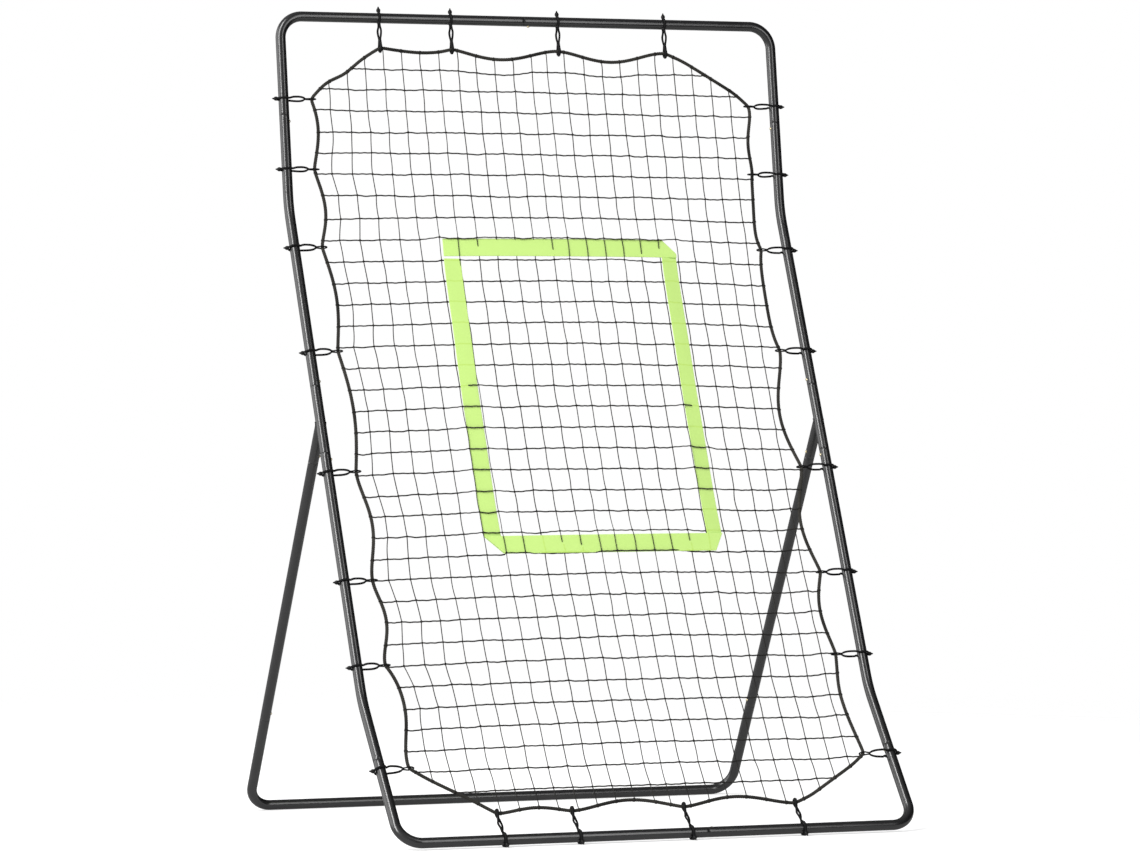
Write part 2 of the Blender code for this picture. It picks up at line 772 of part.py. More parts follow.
def sheet(name, outline, columns, rows, look, thickness, lift, hole_inset=None, span=None):
    """A flat outline, cut along columns and rows, opened by hole_inset and laid on the net's surface.

    With span, only what lies between two values of s is kept."""
    shape = bmesh.new()
    shape.faces.new([shape.verts.new((u, s, 0)) for u, s in outline])
    if span:
        split(shape, span[0], 1, keep=1)
        split(shape, span[1], 1, keep=-1)
    for u in columns:
        split(shape, u, 0)
    for s in rows:
        split(shape, s, 1)
    if hole_inset:
        cells = list(shape.faces)
        bmesh.ops.inset_individual(shape, faces=cells, thickness=hole_inset, use_even_offset=True)
        bmesh.ops.delete(shape, geom=cells, context="FACES_ONLY")
    bmesh.ops.recalc_face_normals(shape, faces=shape.faces)
    for corner in shape.verts:
        u, s, _ = corner.co
        corner.co = surface(u, s, belly(u, s) + lift)
    mesh = bpy.data.meshes.new(name)
    shape.to_mesh(mesh)
    shape.free()
    made = add(name, mesh, look)
    thick = made.modifiers.new("sheet", "SOLIDIFY")
    thick.thickness = thickness
    thick.offset = 0
    return made


def steps(low, high, count):
    return [low + (high - low) * k / (count - 1) for k in range(count)]


def make_net(route):
    """The net in three nearly flat pieces that meet at the frame's two bends."""
    outline = net_outline(route)
    columns = steps(-NET_SIDE, NET_SIDE, NET_COLUMNS)
    lower, upper = (sum(bend_span(i)) / 2 for i in (0, 1))
    half_gap = FIT / 2
    pieces = (
        ("net_lower", 0.0, lower - half_gap, steps(NET_BOTTOM, lower, LOWER_NET_ROWS)[:-1]),
        ("net_middle", lower + half_gap, upper - half_gap, steps(lower, upper, MIDDLE_NET_ROWS)[1:-1]),
        ("net_upper", upper + half_gap, FRAME_LENGTH, steps(upper, NET_TOP, UPPER_NET_ROWS)[1:]),
    )
    for name, low, high, rows in pieces:
        sheet(name, outline, columns, rows, NET_YARN, STRAND_THICKNESS, 0.0, STRAND_WIDTH / 2, (low, high))


def strap_outline():
    left, right, low, high = ZONE_LEFT, ZONE_RIGHT, ZONE_BOTTOM, ZONE_TOP
    wide, fold = STRAP_WIDTH, STRAP_FOLD
    end = high - wide - STRAP_END_GAP
    return [
        (left, high),
        (right - fold, high),
        (right, high - wide),
        (right, low + wide),
        (right - fold, low),
        (left + fold, low),
        (left, low + wide),
        (left, end),
        (left + wide, end),
        (left + wide, low + wide),
        (right - wide, low + wide),
        (right - wide, high - wide),
        (left, high - wide),
    ]


def make_strap():
    columns = steps(ZONE_LEFT, ZONE_RIGHT, round((ZONE_RIGHT - ZONE_LEFT) / STRAP_PANEL) + 1)[1:-1]
    rows = steps(ZONE_BOTTOM, ZONE_TOP, round((ZONE_TOP - ZONE_BOTTOM) / STRAP_PANEL) + 1)[1:-1]
    lift = (STRAND_THICKNESS + STRAP_THICKNESS) / 2 + STRAP_GAP
    return sheet("strike_zone_strap", strap_outline(), columns, rows, STRAP, STRAP_THICKNESS, lift)


make_frame()
make_snap_clips()
ROUTE = rope_route()
make_rope(ROUTE)
make_net(ROUTE)
make_strap()
make_loops()
print(f"frame length {FRAME_LENGTH:.4f}, rear bar {REAR_Y:.4f} behind, bottom bar's axis at {FRONT_Y:.4f}")
for seat_name, (seat, outward, ahead) in SEATS.items():
    print(seat_name, [round(v, 5) for v in seat], [round(v, 5) for v in outward])
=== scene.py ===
# Looks of the baseball rebounder: powder-coated tubes, knotted net on elastic loops and a lime strap.

import math

import bmesh
import bpy
import numpy as np
from mathutils import Matrix, Vector
from mathutils.kdtree import KDTree


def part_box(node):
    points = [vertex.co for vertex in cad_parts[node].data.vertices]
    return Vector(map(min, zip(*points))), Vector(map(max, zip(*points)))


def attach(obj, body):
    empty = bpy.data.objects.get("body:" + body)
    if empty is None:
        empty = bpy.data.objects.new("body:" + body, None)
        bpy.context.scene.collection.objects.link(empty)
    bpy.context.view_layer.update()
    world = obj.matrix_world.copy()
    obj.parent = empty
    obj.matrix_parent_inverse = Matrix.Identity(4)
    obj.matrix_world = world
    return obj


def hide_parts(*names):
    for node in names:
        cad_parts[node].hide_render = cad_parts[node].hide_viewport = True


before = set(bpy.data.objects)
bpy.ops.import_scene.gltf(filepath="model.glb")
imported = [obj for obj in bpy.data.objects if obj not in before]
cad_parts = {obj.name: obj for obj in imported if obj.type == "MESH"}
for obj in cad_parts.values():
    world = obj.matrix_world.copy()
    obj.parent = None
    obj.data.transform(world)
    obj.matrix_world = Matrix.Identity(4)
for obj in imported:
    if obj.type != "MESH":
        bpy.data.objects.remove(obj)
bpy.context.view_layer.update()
mm = 0.001

# The bent tube frame. Places on it are (u, s): u across from the middle, s up the side tubes from the bottom bar.
frameShape = {
    "halfWidth": 580 * mm,
    "runs": (358.8 * mm, 1135.9 * mm, 420.0 * mm),
    "slopes": (50.25, 65.65, 81.75),  # degrees from the floor
    "bendRadius": 230 * mm,
    "cornerRadius": 50 * mm,
    "tubeRadius": 11 * mm,
    "wall": 1.0 * mm,
    "fit": 0.3 * mm,
    "legRoot": 989.4 * mm,
    "legLength": 981.6 * mm,
}
solidCorner = 11.566 * mm  # the solids' tubes have ten flats, and this is to their corners
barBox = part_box("left_bottom_corner_tube")
barY = barBox[0].y + solidCorner
barZ = barBox[0].z + frameShape["tubeRadius"]


# Frame surface


def frameProfile():
    # the side tube's axis as finely spaced rows of s, y, z and slope
    slopes = [math.radians(a) for a in frameShape["slopes"]]
    radius = frameShape["bendRadius"]
    trims = [0] + [radius * math.tan((b - a) / 2) for a, b in zip(slopes, slopes[1:])] + [0]
    rows, s, y, z = [(0, 0, 0, slopes[0])], 0, 0, 0
    for i, (run, slope) in enumerate(zip(frameShape["runs"], slopes)):
        straight = run - trims[i] - trims[i + 1]
        s, y, z = s + straight, y + straight * math.cos(slope), z + straight * math.sin(slope)
        rows.append((s, y, z, slope))
        if i + 1 < len(slopes):
            bend = slopes[i + 1] - slope
            centre = (y - radius * math.sin(slope), z + radius * math.cos(slope))
            for k in range(1, 25):
                turned = slope + bend * k / 24
                row = (centre[0] + radius * math.sin(turned), centre[1] - radius * math.cos(turned))
                rows.append((s + radius * bend * k / 24, *row, turned))
            s, y, z = rows[-1][:3]
    return np.array(rows)


profile = frameProfile()
frameLength = profile[-1, 0]


def slopeAt(s):
    return np.interp(s, profile[:, 0], profile[:, 3])


def surface(u, s, lift=0.0):
    # points of the frame's bent surface, standing lift in front of it
    u, s, lift = np.broadcast_arrays(np.asarray(u, float), np.asarray(s, float), np.asarray(lift, float))
    slope = slopeAt(s)
    below, above = np.minimum(s, 0), np.maximum(s - frameLength, 0)
    y = np.interp(s, profile[:, 0], profile[:, 1]) + (below + above) * np.cos(slope)
    z = np.interp(s, profile[:, 0], profile[:, 2]) + (below + above) * np.sin(slope)
    return np.stack([u, barY + y - lift * np.sin(slope), barZ + z + lift * np.cos(slope)], -1)


def upAt(s):
    slope = slopeAt(s)
    return Vector((0, math.cos(slope), math.sin(slope)))


def frontAt(s):
    slope = slopeAt(s)
    return Vector((0, -math.sin(slope), math.cos(slope)))


netBelly = 26 * mm  # the ball pocket: how far the net's middle stands in front of the frame
sideInset, barInset = 62.7 * mm, 65.5 * mm  # tube axis to edge rope at a loop


def belly(u, s):
    across = np.maximum(0, 1 - (np.asarray(u) / (frameShape["halfWidth"] - sideInset)) ** 2)
    up = (np.asarray(s) - barInset) / (frameLength - 2 * barInset)
    return netBelly * across * np.maximum(0, 4 * up * (1 - up))


def onNet(u, s, lift=0.0):
    # points of the net's own surface, standing lift in front of it
    return surface(u, s, belly(u, s) + lift)


# Mesh helpers


def pathFrames(points, closed):
    # the direction of a path at each point and two more at right angles to it, with no needless twist
    ahead = np.roll(points, -1, 0) - np.roll(points, 1, 0) if closed else np.gradient(points, axis=0)
    ahead /= np.linalg.norm(ahead, axis=1, keepdims=True)
    side = np.zeros_like(points)
    start = np.cross(ahead[0], (0.31, 0.52, 0.79))
    side[0] = start / np.linalg.norm(start)
    for i in range(1, len(points)):
        turned = side[i - 1] - ahead[i] * side[i - 1].dot(ahead[i])
        side[i] = turned / np.linalg.norm(turned)
    if closed:
        last = side[-1] - ahead[0] * side[-1].dot(ahead[0])
        slip = math.atan2(np.cross(side[0], last).dot(ahead[0]), side[0].dot(last))
        angles = -slip * np.arange(len(points)) / len(points)
        side = side * np.cos(angles)[:, None] + np.cross(ahead, side) * np.sin(angles)[:, None]
    return ahead, side, np.cross(ahead, side)


def sweepMesh(name, points, radius, sides, closed=False, capped=True, ripple=None):
    # a tube along points; its UV map has turns around and metres along
    points = np.asarray(points, float)
    count = len(points)
    ahead, side, up = pathFrames(points, closed)
    steps = np.linalg.norm(np.diff(points, axis=0), axis=1)
    length = np.concatenate([[0], np.cumsum(steps)])
    angle = np.arange(sides) * 2 * math.pi / sides
    reach = np.broadcast_to(np.asarray(radius, float), (count,))[:, None] * np.ones(sides)
    if ripple:
        reach = reach * ripple(angle[None, :], length[:, None])
    ring = side[:, None] * np.cos(angle)[None, :, None] + up[:, None] * np.sin(angle)[None, :, None]
    corners = (points[:, None] + ring * reach[..., None]).reshape(-1, 3)
    faces, uvs = [], []
    for i in range(count if closed else count - 1):
        j = (i + 1) % count
        low = length[i]
        high = length[i + 1] if i + 1 < count else length[i] + np.linalg.norm(points[0] - points[-1])
        for k in range(sides):
            m = (k + 1) % sides
            faces.append((i * sides + k, i * sides + m, j * sides + m, j * sides + k))
            uvs += [(k / sides, low), ((k + 1) / sides, low), ((k + 1) / sides, high), (k / sides, high)]
    if capped and not closed:
        faces.append(tuple(range(sides - 1, -1, -1)))
        faces.append(tuple(range((count - 1) * sides, count * sides)))
        uvs += [(0.5, 0)] * sides + [(0.5, length[-1])] * sides
    mesh = bpy.data.meshes.new(name)
    mesh.from_pydata(corners.tolist(), [], faces)
    layer = mesh.uv_layers.new(name="UVMap")
    layer.data.foreach_set("uv", np.array(uvs, np.float32).ravel())
    mesh.shade_smooth()
    mesh.set_sharp_from_angle(angle=math.radians(40))
    return mesh


def lathe(name, outline, sides):
    # a closed solid turned round Z from (radius, height) points that begin and end on the axis
    shape = bmesh.new()
    chain = [shape.verts.new((r, 0, z)) for r, z in outline]
    edges = [shape.edges.new(pair) for pair in zip(chain, chain[1:])]
    bmesh.ops.spin(
        shape, geom=chain + edges, cent=(0, 0, 0), axis=(0, 0, 1), angle=2 * math.pi, steps=sides, use_duplicate=False
    )
    bmesh.ops.remove_doubles(shape, verts=shape.verts, dist=1e-6)
    bmesh.ops.recalc_face_normals(shape, faces=shape.faces)
    mesh = bpy.data.meshes.new(name)
    shape.to_mesh(mesh)
    shape.free()
    mesh.shade_smooth()
    mesh.set_sharp_from_angle(angle=math.radians(50))
    return mesh


def smoothLine(points, perSpan, closed=False):
    # a smooth path through every point
    points = np.asarray(points, float)
    count = len(points)
    spans = count if closed else count - 1
    line = []
    for i in range(spans):
        if closed:
            a, b, c, d = (points[(i + k) % count] for k in (-1, 0, 1, 2))
        else:
            a, b, c, d = (points[min(max(i + k, 0), count - 1)] for k in (-1, 0, 1, 2))
        for t in np.arange(perSpan) / perSpan:
            bend = (2 * b) + (c - a) * t + (2 * a - 5 * b + 4 * c - d) * t**2 + (3 * b - a - 3 * c + d) * t**3
            line.append(bend / 2)
    if not closed:
        line.append(points[-1])
    return np.array(line)


def piece(name, mesh, look, replaced=(), body="frame"):
    made = bpy.data.objects.new(name, mesh)
    bpy.context.scene.collection.objects.link(made)
    mesh.materials.clear()
    mesh.materials.append(look)
    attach(made, body)
    if replaced:
        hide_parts(*replaced)
    return made


def helper(mesh):
    made = bpy.data.objects.new("helper", mesh)
    bpy.context.scene.collection.objects.link(made)
    return made


def applied(made):
    # the object's mesh with its modifiers in it; the object goes
    graph = bpy.context.evaluated_depsgraph_get()
    graph.update()
    mesh = bpy.data.meshes.new_from_object(made.evaluated_get(graph))
    bpy.data.objects.remove(made)
    return mesh


def joined(name, meshes):
    shape = bmesh.new()
    for mesh in meshes:
        shape.from_mesh(mesh)
    mesh = bpy.data.meshes.new(name)
    shape.to_mesh(mesh)
    shape.free()
    return mesh


# Materials


def colour(text):
    # an sRGB hex value as linear RGBA
    parts = [int(text[i : i + 2], 16) / 255 for i in (1, 3, 5)]
    return tuple(p / 12.92 if p <= 0.04045 else ((p + 0.055) / 1.055) ** 2.4 for p in parts) + (1.0,)


def newMaterial(name, **values):
    made = bpy.data.materials.new(name)
    made.use_nodes = True
    shader = made.node_tree.nodes["Principled BSDF"]
    for socket, value in values.items():
        shader.inputs[socket].default_value = value
    return made, made.node_tree, shader


def feed(tree, node, **links):
    # links or sets a node's inputs; a key is the input's name with _ for a space, or i and its number
    for key, source in links.items():
        numbered = key[0] == "i" and key[1:].isdigit()
        socket = node.inputs[int(key[1:]) if numbered else key.replace("_", " ")]
        if isinstance(source, bpy.types.NodeSocket):
            tree.links.new(source, socket)
        else:
            socket.default_value = source
    return node


def add(tree, kind, settings=None, **links):
    # a node with its settings and links; stops are a colour ramp's pairs of place and colour
    node = tree.nodes.new(kind)
    for key, value in (settings or {}).items():
        if key == "stops":
            elements = node.color_ramp.elements
            while len(elements) < len(value):
                elements.new(0.5)
            for element, (place, shade) in zip(elements, value):
                element.position = place
                element.color = colour(shade) if isinstance(shade, str) else (shade, shade, shade, 1)
        elif hasattr(node, key):
            setattr(node, key, value)
        else:
            node.inputs[key].default_value = value
    return feed(tree, node, **links)


def powderCoat():
    # black polyester powder baked on steel: semi-gloss with a fine orange peel, a little dust and rub marks
    made, tree, shader = newMaterial("powderCoatedSteel", **{"Specular IOR Level": 0.85, "IOR": 1.5})
    place = add(tree, "ShaderNodeTexCoord").outputs["Object"]
    peel = add(tree, "ShaderNodeTexNoise", {"Scale": 1 / (1.6 * mm), "Detail": 2}, Vector=place)
    dust = add(tree, "ShaderNodeTexNoise", {"Scale": 1 / (60 * mm), "Detail": 6, "Roughness": 0.65}, Vector=place)
    dust = dust.outputs["Fac"]
    tone = add(tree, "ShaderNodeValToRGB", {"stops": ((0.35, "#1a1a1b"), (0.72, "#222223"))}, Fac=dust)
    rough = add(tree, "ShaderNodeValToRGB", {"stops": ((0.3, 0.20), (0.75, 0.27))}, Fac=dust)
    relief = add(tree, "ShaderNodeBump", {"Distance": 0.02 * mm, "Strength": 0.12}, Height=peel.outputs["Fac"])
    feed(tree, shader, Base_Color=tone.outputs[0], Roughness=rough.outputs[0], Normal=relief.outputs[0])
    return made


def zincPlate():
    # yellow-passivated zinc on spring steel: pale brass colour, bright with faint clouds
    made, tree, shader = newMaterial("yellowZincPlate", Metallic=1.0)
    place = add(tree, "ShaderNodeTexCoord").outputs["Object"]
    clouds = add(tree, "ShaderNodeTexNoise", {"Scale": 1 / (3 * mm), "Detail": 3}, Vector=place).outputs["Fac"]
    tone = add(tree, "ShaderNodeValToRGB", {"stops": ((0.3, "#d8c79a"), (0.7, "#e9dfc2"))}, Fac=clouds)
    rough = add(tree, "ShaderNodeValToRGB", {"stops": ((0.3, 0.24), (0.7, 0.36))}, Fac=clouds)
    feed(tree, shader, Base_Color=tone.outputs[0], Roughness=rough.outputs[0])
    return made


def braid(name, dark, light, pitch, turns, depth, sheen):
    # a braided sleeve: two crossing sets of yarn on the piece's own UV map, pitch metres apart along it, with painted
    # shade darker between the yarns
    made, tree, shader = newMaterial(name, Roughness=0.75, **{"Specular IOR Level": 0.25, "Sheen Weight": sheen})
    uv = add(tree, "ShaderNodeUVMap").outputs["UV"]
    split = add(tree, "ShaderNodeSeparateXYZ", Vector=uv)
    around = add(tree, "ShaderNodeMath", {"operation": "MULTIPLY"}, i0=split.outputs["X"], i1=2 * math.pi * turns)
    along = add(tree, "ShaderNodeMath", {"operation": "MULTIPLY"}, i0=split.outputs["Y"], i1=2 * math.pi / pitch)
    waves = []
    for way in ("ADD", "SUBTRACT"):
        phase = add(tree, "ShaderNodeMath", {"operation": way}, i0=along.outputs[0], i1=around.outputs[0])
        waves.append(add(tree, "ShaderNodeMath", {"operation": "SINE"}, i0=phase.outputs[0]).outputs[0])
    yarns = add(tree, "ShaderNodeMath", {"operation": "MULTIPLY"}, i0=waves[0], i1=waves[1]).outputs[0]
    height = add(tree, "ShaderNodeMath", {"operation": "MULTIPLY_ADD"}, i0=yarns, i1=0.5, i2=0.5).outputs[0]
    # painted shade: the yarn is drawn darker where the braid dips between crossings and lighter on its crests
    tone = add(tree, "ShaderNodeValToRGB", {"stops": ((0.1, dark), (0.9, light))}, Fac=height)
    relief = add(tree, "ShaderNodeBump", {"Distance": depth}, Height=height)
    feed(tree, shader, Base_Color=tone.outputs[0], Normal=relief.outputs[0])
    return made


def twine(name, dark, light, grain):
    # twisted polyester or polyethylene yarn: matt with pale worn fibres
    made, tree, shader = newMaterial(name, Roughness=0.85, **{"Specular IOR Level": 0.25, "Sheen Weight": 0.03})
    place = add(tree, "ShaderNodeTexCoord").outputs["Object"]
    fibres = add(tree, "ShaderNodeTexNoise", {"Scale": 1 / grain, "Detail": 4}, Vector=place).outputs["Fac"]
    patches = add(tree, "ShaderNodeTexNoise", {"Scale": 1 / (90 * mm), "Detail": 2}, Vector=place).outputs["Fac"]
    mixed = add(tree, "ShaderNodeMath", {"operation": "MULTIPLY"}, i0=fibres, i1=patches)
    tone = add(tree, "ShaderNodeValToRGB", {"stops": ((0.12, dark), (0.42, light))}, Fac=mixed.outputs[0])
    relief = add(tree, "ShaderNodeBump", {"Distance": 0.25 * mm}, Height=fibres)
    feed(tree, shader, Base_Color=tone.outputs[0], Normal=relief.outputs[0])
    return made


def mouldedPlastic():
    # black moulded nylon, slightly matt from the spark finish of its mould
    made, tree, shader = newMaterial("mouldedBlackNylon", **{"Specular IOR Level": 0.3})
    place = add(tree, "ShaderNodeTexCoord").outputs["Object"]
    spark = add(tree, "ShaderNodeTexNoise", {"Scale": 1 / (0.7 * mm), "Detail": 2}, Vector=place).outputs["Fac"]
    tone = add(tree, "ShaderNodeValToRGB", {"stops": ((0.3, "#060607"), (0.7, "#0c0c0d"))}, Fac=spark)
    rough = add(tree, "ShaderNodeValToRGB", {"stops": ((0.3, 0.4), (0.7, 0.55))}, Fac=spark)
    relief = add(tree, "ShaderNodeBump", {"Distance": 0.02 * mm}, Height=spark)
    feed(tree, shader, Base_Color=tone.outputs[0], Roughness=rough.outputs[0], Normal=relief.outputs[0])
    return made


def webbing():
    # woven polyester webbing in fluorescent lime: ribs of weft with warp floats between, paler where it is rubbed,
    # with painted shade a little darker in the dips of the weave
    made, tree, shader = newMaterial("limeWebbing", Roughness=0.72, **{"Sheen Weight": 0.2, "Sheen Roughness": 0.5})
    uv = add(tree, "ShaderNodeUVMap").outputs["UV"]
    split = add(tree, "ShaderNodeSeparateXYZ", Vector=uv)
    warpPitch, weftPitch = 2.6 * mm, 2.2 * mm  # drawn about half again as coarse as the real weave, to show
    warp = add(tree, "ShaderNodeMath", {"operation": "MULTIPLY"}, i0=split.outputs["X"], i1=2 * math.pi / warpPitch)
    weft = add(tree, "ShaderNodeMath", {"operation": "MULTIPLY"}, i0=split.outputs["Y"], i1=2 * math.pi / weftPitch)
    warpWave = add(tree, "ShaderNodeMath", {"operation": "SINE"}, i0=warp.outputs[0]).outputs[0]
    weftWave = add(tree, "ShaderNodeMath", {"operation": "SINE"}, i0=weft.outputs[0]).outputs[0]
    cross = add(tree, "ShaderNodeMath", {"operation": "MULTIPLY"}, i0=warpWave, i1=weftWave).outputs[0]
    height = add(tree, "ShaderNodeMath", {"operation": "MULTIPLY_ADD"}, i0=cross, i1=0.5, i2=0.5).outputs[0]
    place = add(tree, "ShaderNodeTexCoord").outputs["Object"]
    rub = add(tree, "ShaderNodeTexNoise", {"Scale": 1 / (25 * mm), "Detail": 5}, Vector=place)
    worn = add(tree, "ShaderNodeMath", {"operation": "MULTIPLY"}, i0=rub.outputs["Fac"], i1=0.6)
    # the tone is partly paler wear where it is rubbed and partly painted shade, darker in the weave's dips
    weaveShadeAndWear = add(tree, "ShaderNodeMath", {"operation": "MULTIPLY_ADD"}, i0=height, i1=0.4, i2=worn.outputs[0])
    stops = ((0.2, "#cbf182"), (0.5, "#cdf385"), (0.8, "#cff488"))
    tone = add(tree, "ShaderNodeValToRGB", {"stops": stops}, Fac=weaveShadeAndWear.outputs[0]).outputs[0]
    # painted shade of the net's strands behind the webbing: a little darker along each strand that presses from
    # behind
    pressed = add(tree, "ShaderNodeAttribute", {"attribute_name": "pressed"}).outputs["Fac"]
    mark = colour("#eef0c4")
    dark = add(tree, "ShaderNodeMixRGB", {"blend_type": "MULTIPLY"}, Fac=pressed, Color1=tone, Color2=mark)
    relief = add(tree, "ShaderNodeBump", {"Distance": 0.04 * mm, "Strength": 0.3}, Height=height)
    feed(tree, shader, Base_Color=dark.outputs[0], Normal=relief.outputs[0])
    return made


coat = powderCoat()
zinc = zincPlate()
elastic = braid("braidedElastic", "#050506", "#0e0e10", 2.4 * mm, 3, 0.25 * mm, 0.02)
nylon = mouldedPlastic()
ropeYarn = twine("twistedEdgeRope", "#191816", "#403e39", 1.2 * mm)
netYarn = twine("knottedNetTwine", "#161514", "#353330", 0.9 * mm)
lime = webbing()
print("materials made")


# Snap buttons: where each sits, the way it points and the way its tube plugs in

seams = {
    "upper": 1695 * mm,
    "middle": 1072 * mm,
    "lowerBranch": 917 * mm,
    "lower": 206 * mm,
    "topBar": -15 * mm,
    "bottomBar": 102 * mm,
    "legSocket": 96 * mm,
    "rearLeg": 751 * mm,
}
plug = {
    "length": 50 * mm,
    "radius": frameShape["tubeRadius"] - frameShape["wall"] - frameShape["fit"],
    "chamfer": 0.5 * mm,
    "lip": 0.25 * mm,
    "lastFull": 6 * mm,  # the tube keeps its full radius up to here from its end
    "step": 0.2 * mm,
    "nose": 1.5 * mm,  # the plug narrows over this length
    "noseDrop": 0.6 * mm,
}
clip = {
    "buttonRadius": 3.2 * mm,
    "reach": 13.5 * mm,
    "dome": 2.2 * mm,  # how high the button's rounded head is
    "fromSeam": 12.5 * mm,
    "leafWidth": 6.0 * mm,
    "leafSheet": 0.8 * mm,
    "leafLength": 29.5 * mm,
    "leafBend": 4.3 * mm,
    "seat": plug["radius"] - frameShape["wall"] - 1.3 * mm,
    "holePlay": 0.3 * mm,
    "holeSpan": (4 * mm, 17 * mm),  # the hole's cutter, from the tube's axis
}


def legPoint(side, t):
    u = side * frameShape["halfWidth"]
    top = Vector(surface(u, frameShape["legRoot"]))
    footZ = frameShape["tubeRadius"]
    footY = top.y + math.sqrt(frameShape["legLength"] ** 2 - (top.z - footZ) ** 2)
    return top.lerp(Vector((u, footY, footZ)), t / frameShape["legLength"])


def buttonSeats():
    seats = {}
    for side, word in ((-1, "left"), (1, "right")):
        inward = Vector((-side, 0, 0))
        u = side * frameShape["halfWidth"]
        for name, seam, way in (
            ("upper", "upper", -1),
            ("middle", "middle", 1),
            ("lower_branch", "lowerBranch", -1),
            ("lower", "lower", -1),
        ):
            s = seams[seam] + way * clip["fromSeam"]
            seats[f"{name}_{word}"] = (Vector(surface(u, s)), inward, upAt(s) * way)
        down = (legPoint(side, 1) - legPoint(side, 0)).normalized()
        for name, seam in (("leg_socket", "legSocket"), ("rear_leg", "rearLeg")):
            seats[f"{name}_{word}"] = (legPoint(side, seams[seam] - clip["fromSeam"]), inward, -down)
    for name, s, seam, inward in (
        ("top_bar", frameLength, "topBar", -upAt(frameLength)),
        ("bottom_bar", 0.0, "bottomBar", upAt(0.0)),
    ):
        seats[name] = (Vector(surface(seams[seam] + clip["fromSeam"], s)), inward, Vector((1, 0, 0)))
    return seats


def seatMatrix(seat, outward, ahead):
    turn = Matrix((ahead, outward.cross(ahead), outward)).transposed()
    return Matrix.Translation(seat) @ turn.to_4x4()


seats = buttonSeats()


def buttonHole(name):
    shape = bmesh.new()
    radius, (low, high) = clip["buttonRadius"] + clip["holePlay"], clip["holeSpan"]
    bmesh.ops.create_cone(shape, cap_ends=True, segments=28, radius1=radius, radius2=radius, depth=high - low)
    bmesh.ops.translate(shape, verts=shape.verts, vec=(0, 0, (low + high) / 2))
    shape.transform(seatMatrix(*seats[name]))
    mesh = bpy.data.meshes.new("hole")
    shape.to_mesh(mesh)
    shape.free()
    return helper(mesh)


def snapClip():
    # the domed button and the V of strip steel that it is pressed into
    r, top, seat = clip["buttonRadius"], clip["reach"], clip["seat"]
    dome = [(r * math.sin(a), top - clip["dome"] * (1 - math.cos(a))) for a in np.radians(np.linspace(0, 90, 9))]
    button = lathe("button", [*dome, (r, seat), (0, seat)], 28)
    length, bend = clip["leafLength"], clip["leafBend"]
    path = [(-5 * mm, seat), (0.78 * length, seat)]
    for a in np.radians(np.linspace(80, -75, 9)):
        path.append((0.84 * length + 4.2 * mm * math.cos(a), seat - bend + bend * math.sin(a)))
    path += [(0.72 * length, seat - 2 * bend), (-4 * mm, seat - 10 * mm)]
    shape = bmesh.new()
    rows = [[shape.verts.new((x, y * clip["leafWidth"] / 2, z)) for y in (-1, 1)] for x, z in path]
    for a, b in zip(rows, rows[1:]):
        shape.faces.new((a[0], b[0], b[1], a[1]))
    mesh = bpy.data.meshes.new("leaf")
    shape.to_mesh(mesh)
    shape.free()
    leaf = helper(mesh)
    sheet = leaf.modifiers.new("sheet", "SOLIDIFY")
    sheet.thickness, sheet.offset, sheet.use_even_offset = clip["leafSheet"], 0, True
    bevel = leaf.modifiers.new("edges", "BEVEL")
    bevel.width, bevel.segments, bevel.limit_method = 0.2 * mm, 1, "ANGLE"
    mesh = joined("snapClip", [button, applied(leaf)])
    mesh.shade_smooth()
    mesh.set_sharp_from_angle(angle=math.radians(45))
    return mesh


def makeClips():
    pattern = snapClip()
    for name, seat in seats.items():
        mesh = pattern.copy()
        mesh.transform(seatMatrix(*seat))
        node = f"snap_button_{name}"
        piece(f"{node}_plated", mesh, zinc, [node], body=node)
    print("snap buttons made:", len(seats))


makeClips()


# Tubes


def plugEnd(point, outward):
    # a shoulder, then the narrower length that goes into the next tube
    r, lip, edge = frameShape["tubeRadius"], plug["lip"], plug["chamfer"]
    gap = frameShape["fit"] / 2
    return [
        (point - outward * plug["lastFull"], r),
        (point - outward * (gap + edge), r),
        (point - outward * gap, r - lip),
        (point + outward * plug["step"], plug["radius"]),
        (point + outward * (plug["length"] - plug["nose"]), plug["radius"]),
        (point + outward * plug["length"], plug["radius"] - plug["noseDrop"]),
    ]


def socketEnd(point, outward):
    # the mouth of a tube, its rim broken by a small chamfer
    r, gap = frameShape["tubeRadius"], frameShape["fit"] / 2
    return [
        (point - outward * plug["lastFull"], r),
        (point - outward * (gap + plug["chamfer"]), r),
        (point - outward * gap, r - plug["lip"]),
    ]


def tubeShell(points, start, finish, holes):
    points = [Vector(p) for p in points]
    first = start(points[0], (points[0] - points[1]).normalized())
    last = finish(points[-1], (points[-1] - points[-2]).normalized())
    line = list(reversed(first)) + [(p, frameShape["tubeRadius"]) for p in points[1:-1]] + last
    shell = helper(sweepMesh("tube", [p for p, _ in line], [r for _, r in line], 40, capped=False))
    wall = shell.modifiers.new("wall", "SOLIDIFY")
    wall.thickness, wall.offset, wall.use_even_offset = frameShape["wall"], -1, True
    cutHoles(shell, holes)
    return shell


def cutHoles(shell, holes):
    for name in holes:
        cut = shell.modifiers.new(name, "BOOLEAN")
        cut.operation, cut.solver, cut.object = "DIFFERENCE", "EXACT", holeCutters[name]


def coatTube(name, shell):
    mesh = applied(shell)
    mesh.shade_smooth()
    mesh.set_sharp_from_angle(angle=math.radians(40))
    return piece(f"{name}_coated", mesh, coat, [name])


def sideLine(side, low, high):
    bends = [s for s in profile[:, 0] if low + 20 * mm < s < high - 20 * mm]
    return [surface(side * frameShape["halfWidth"], s) for s in (low, *bends, high)]


def cornerLine(side, top):
    points, r = [], frameShape["cornerRadius"]
    for k in range(25):
        turn = math.pi / 2 * k / 24
        s = r * (1 - math.sin(turn))
        u = side * (frameShape["halfWidth"] - r * (1 - math.cos(turn)))
        points.append(surface(u, frameLength - s if top else s))
    return points


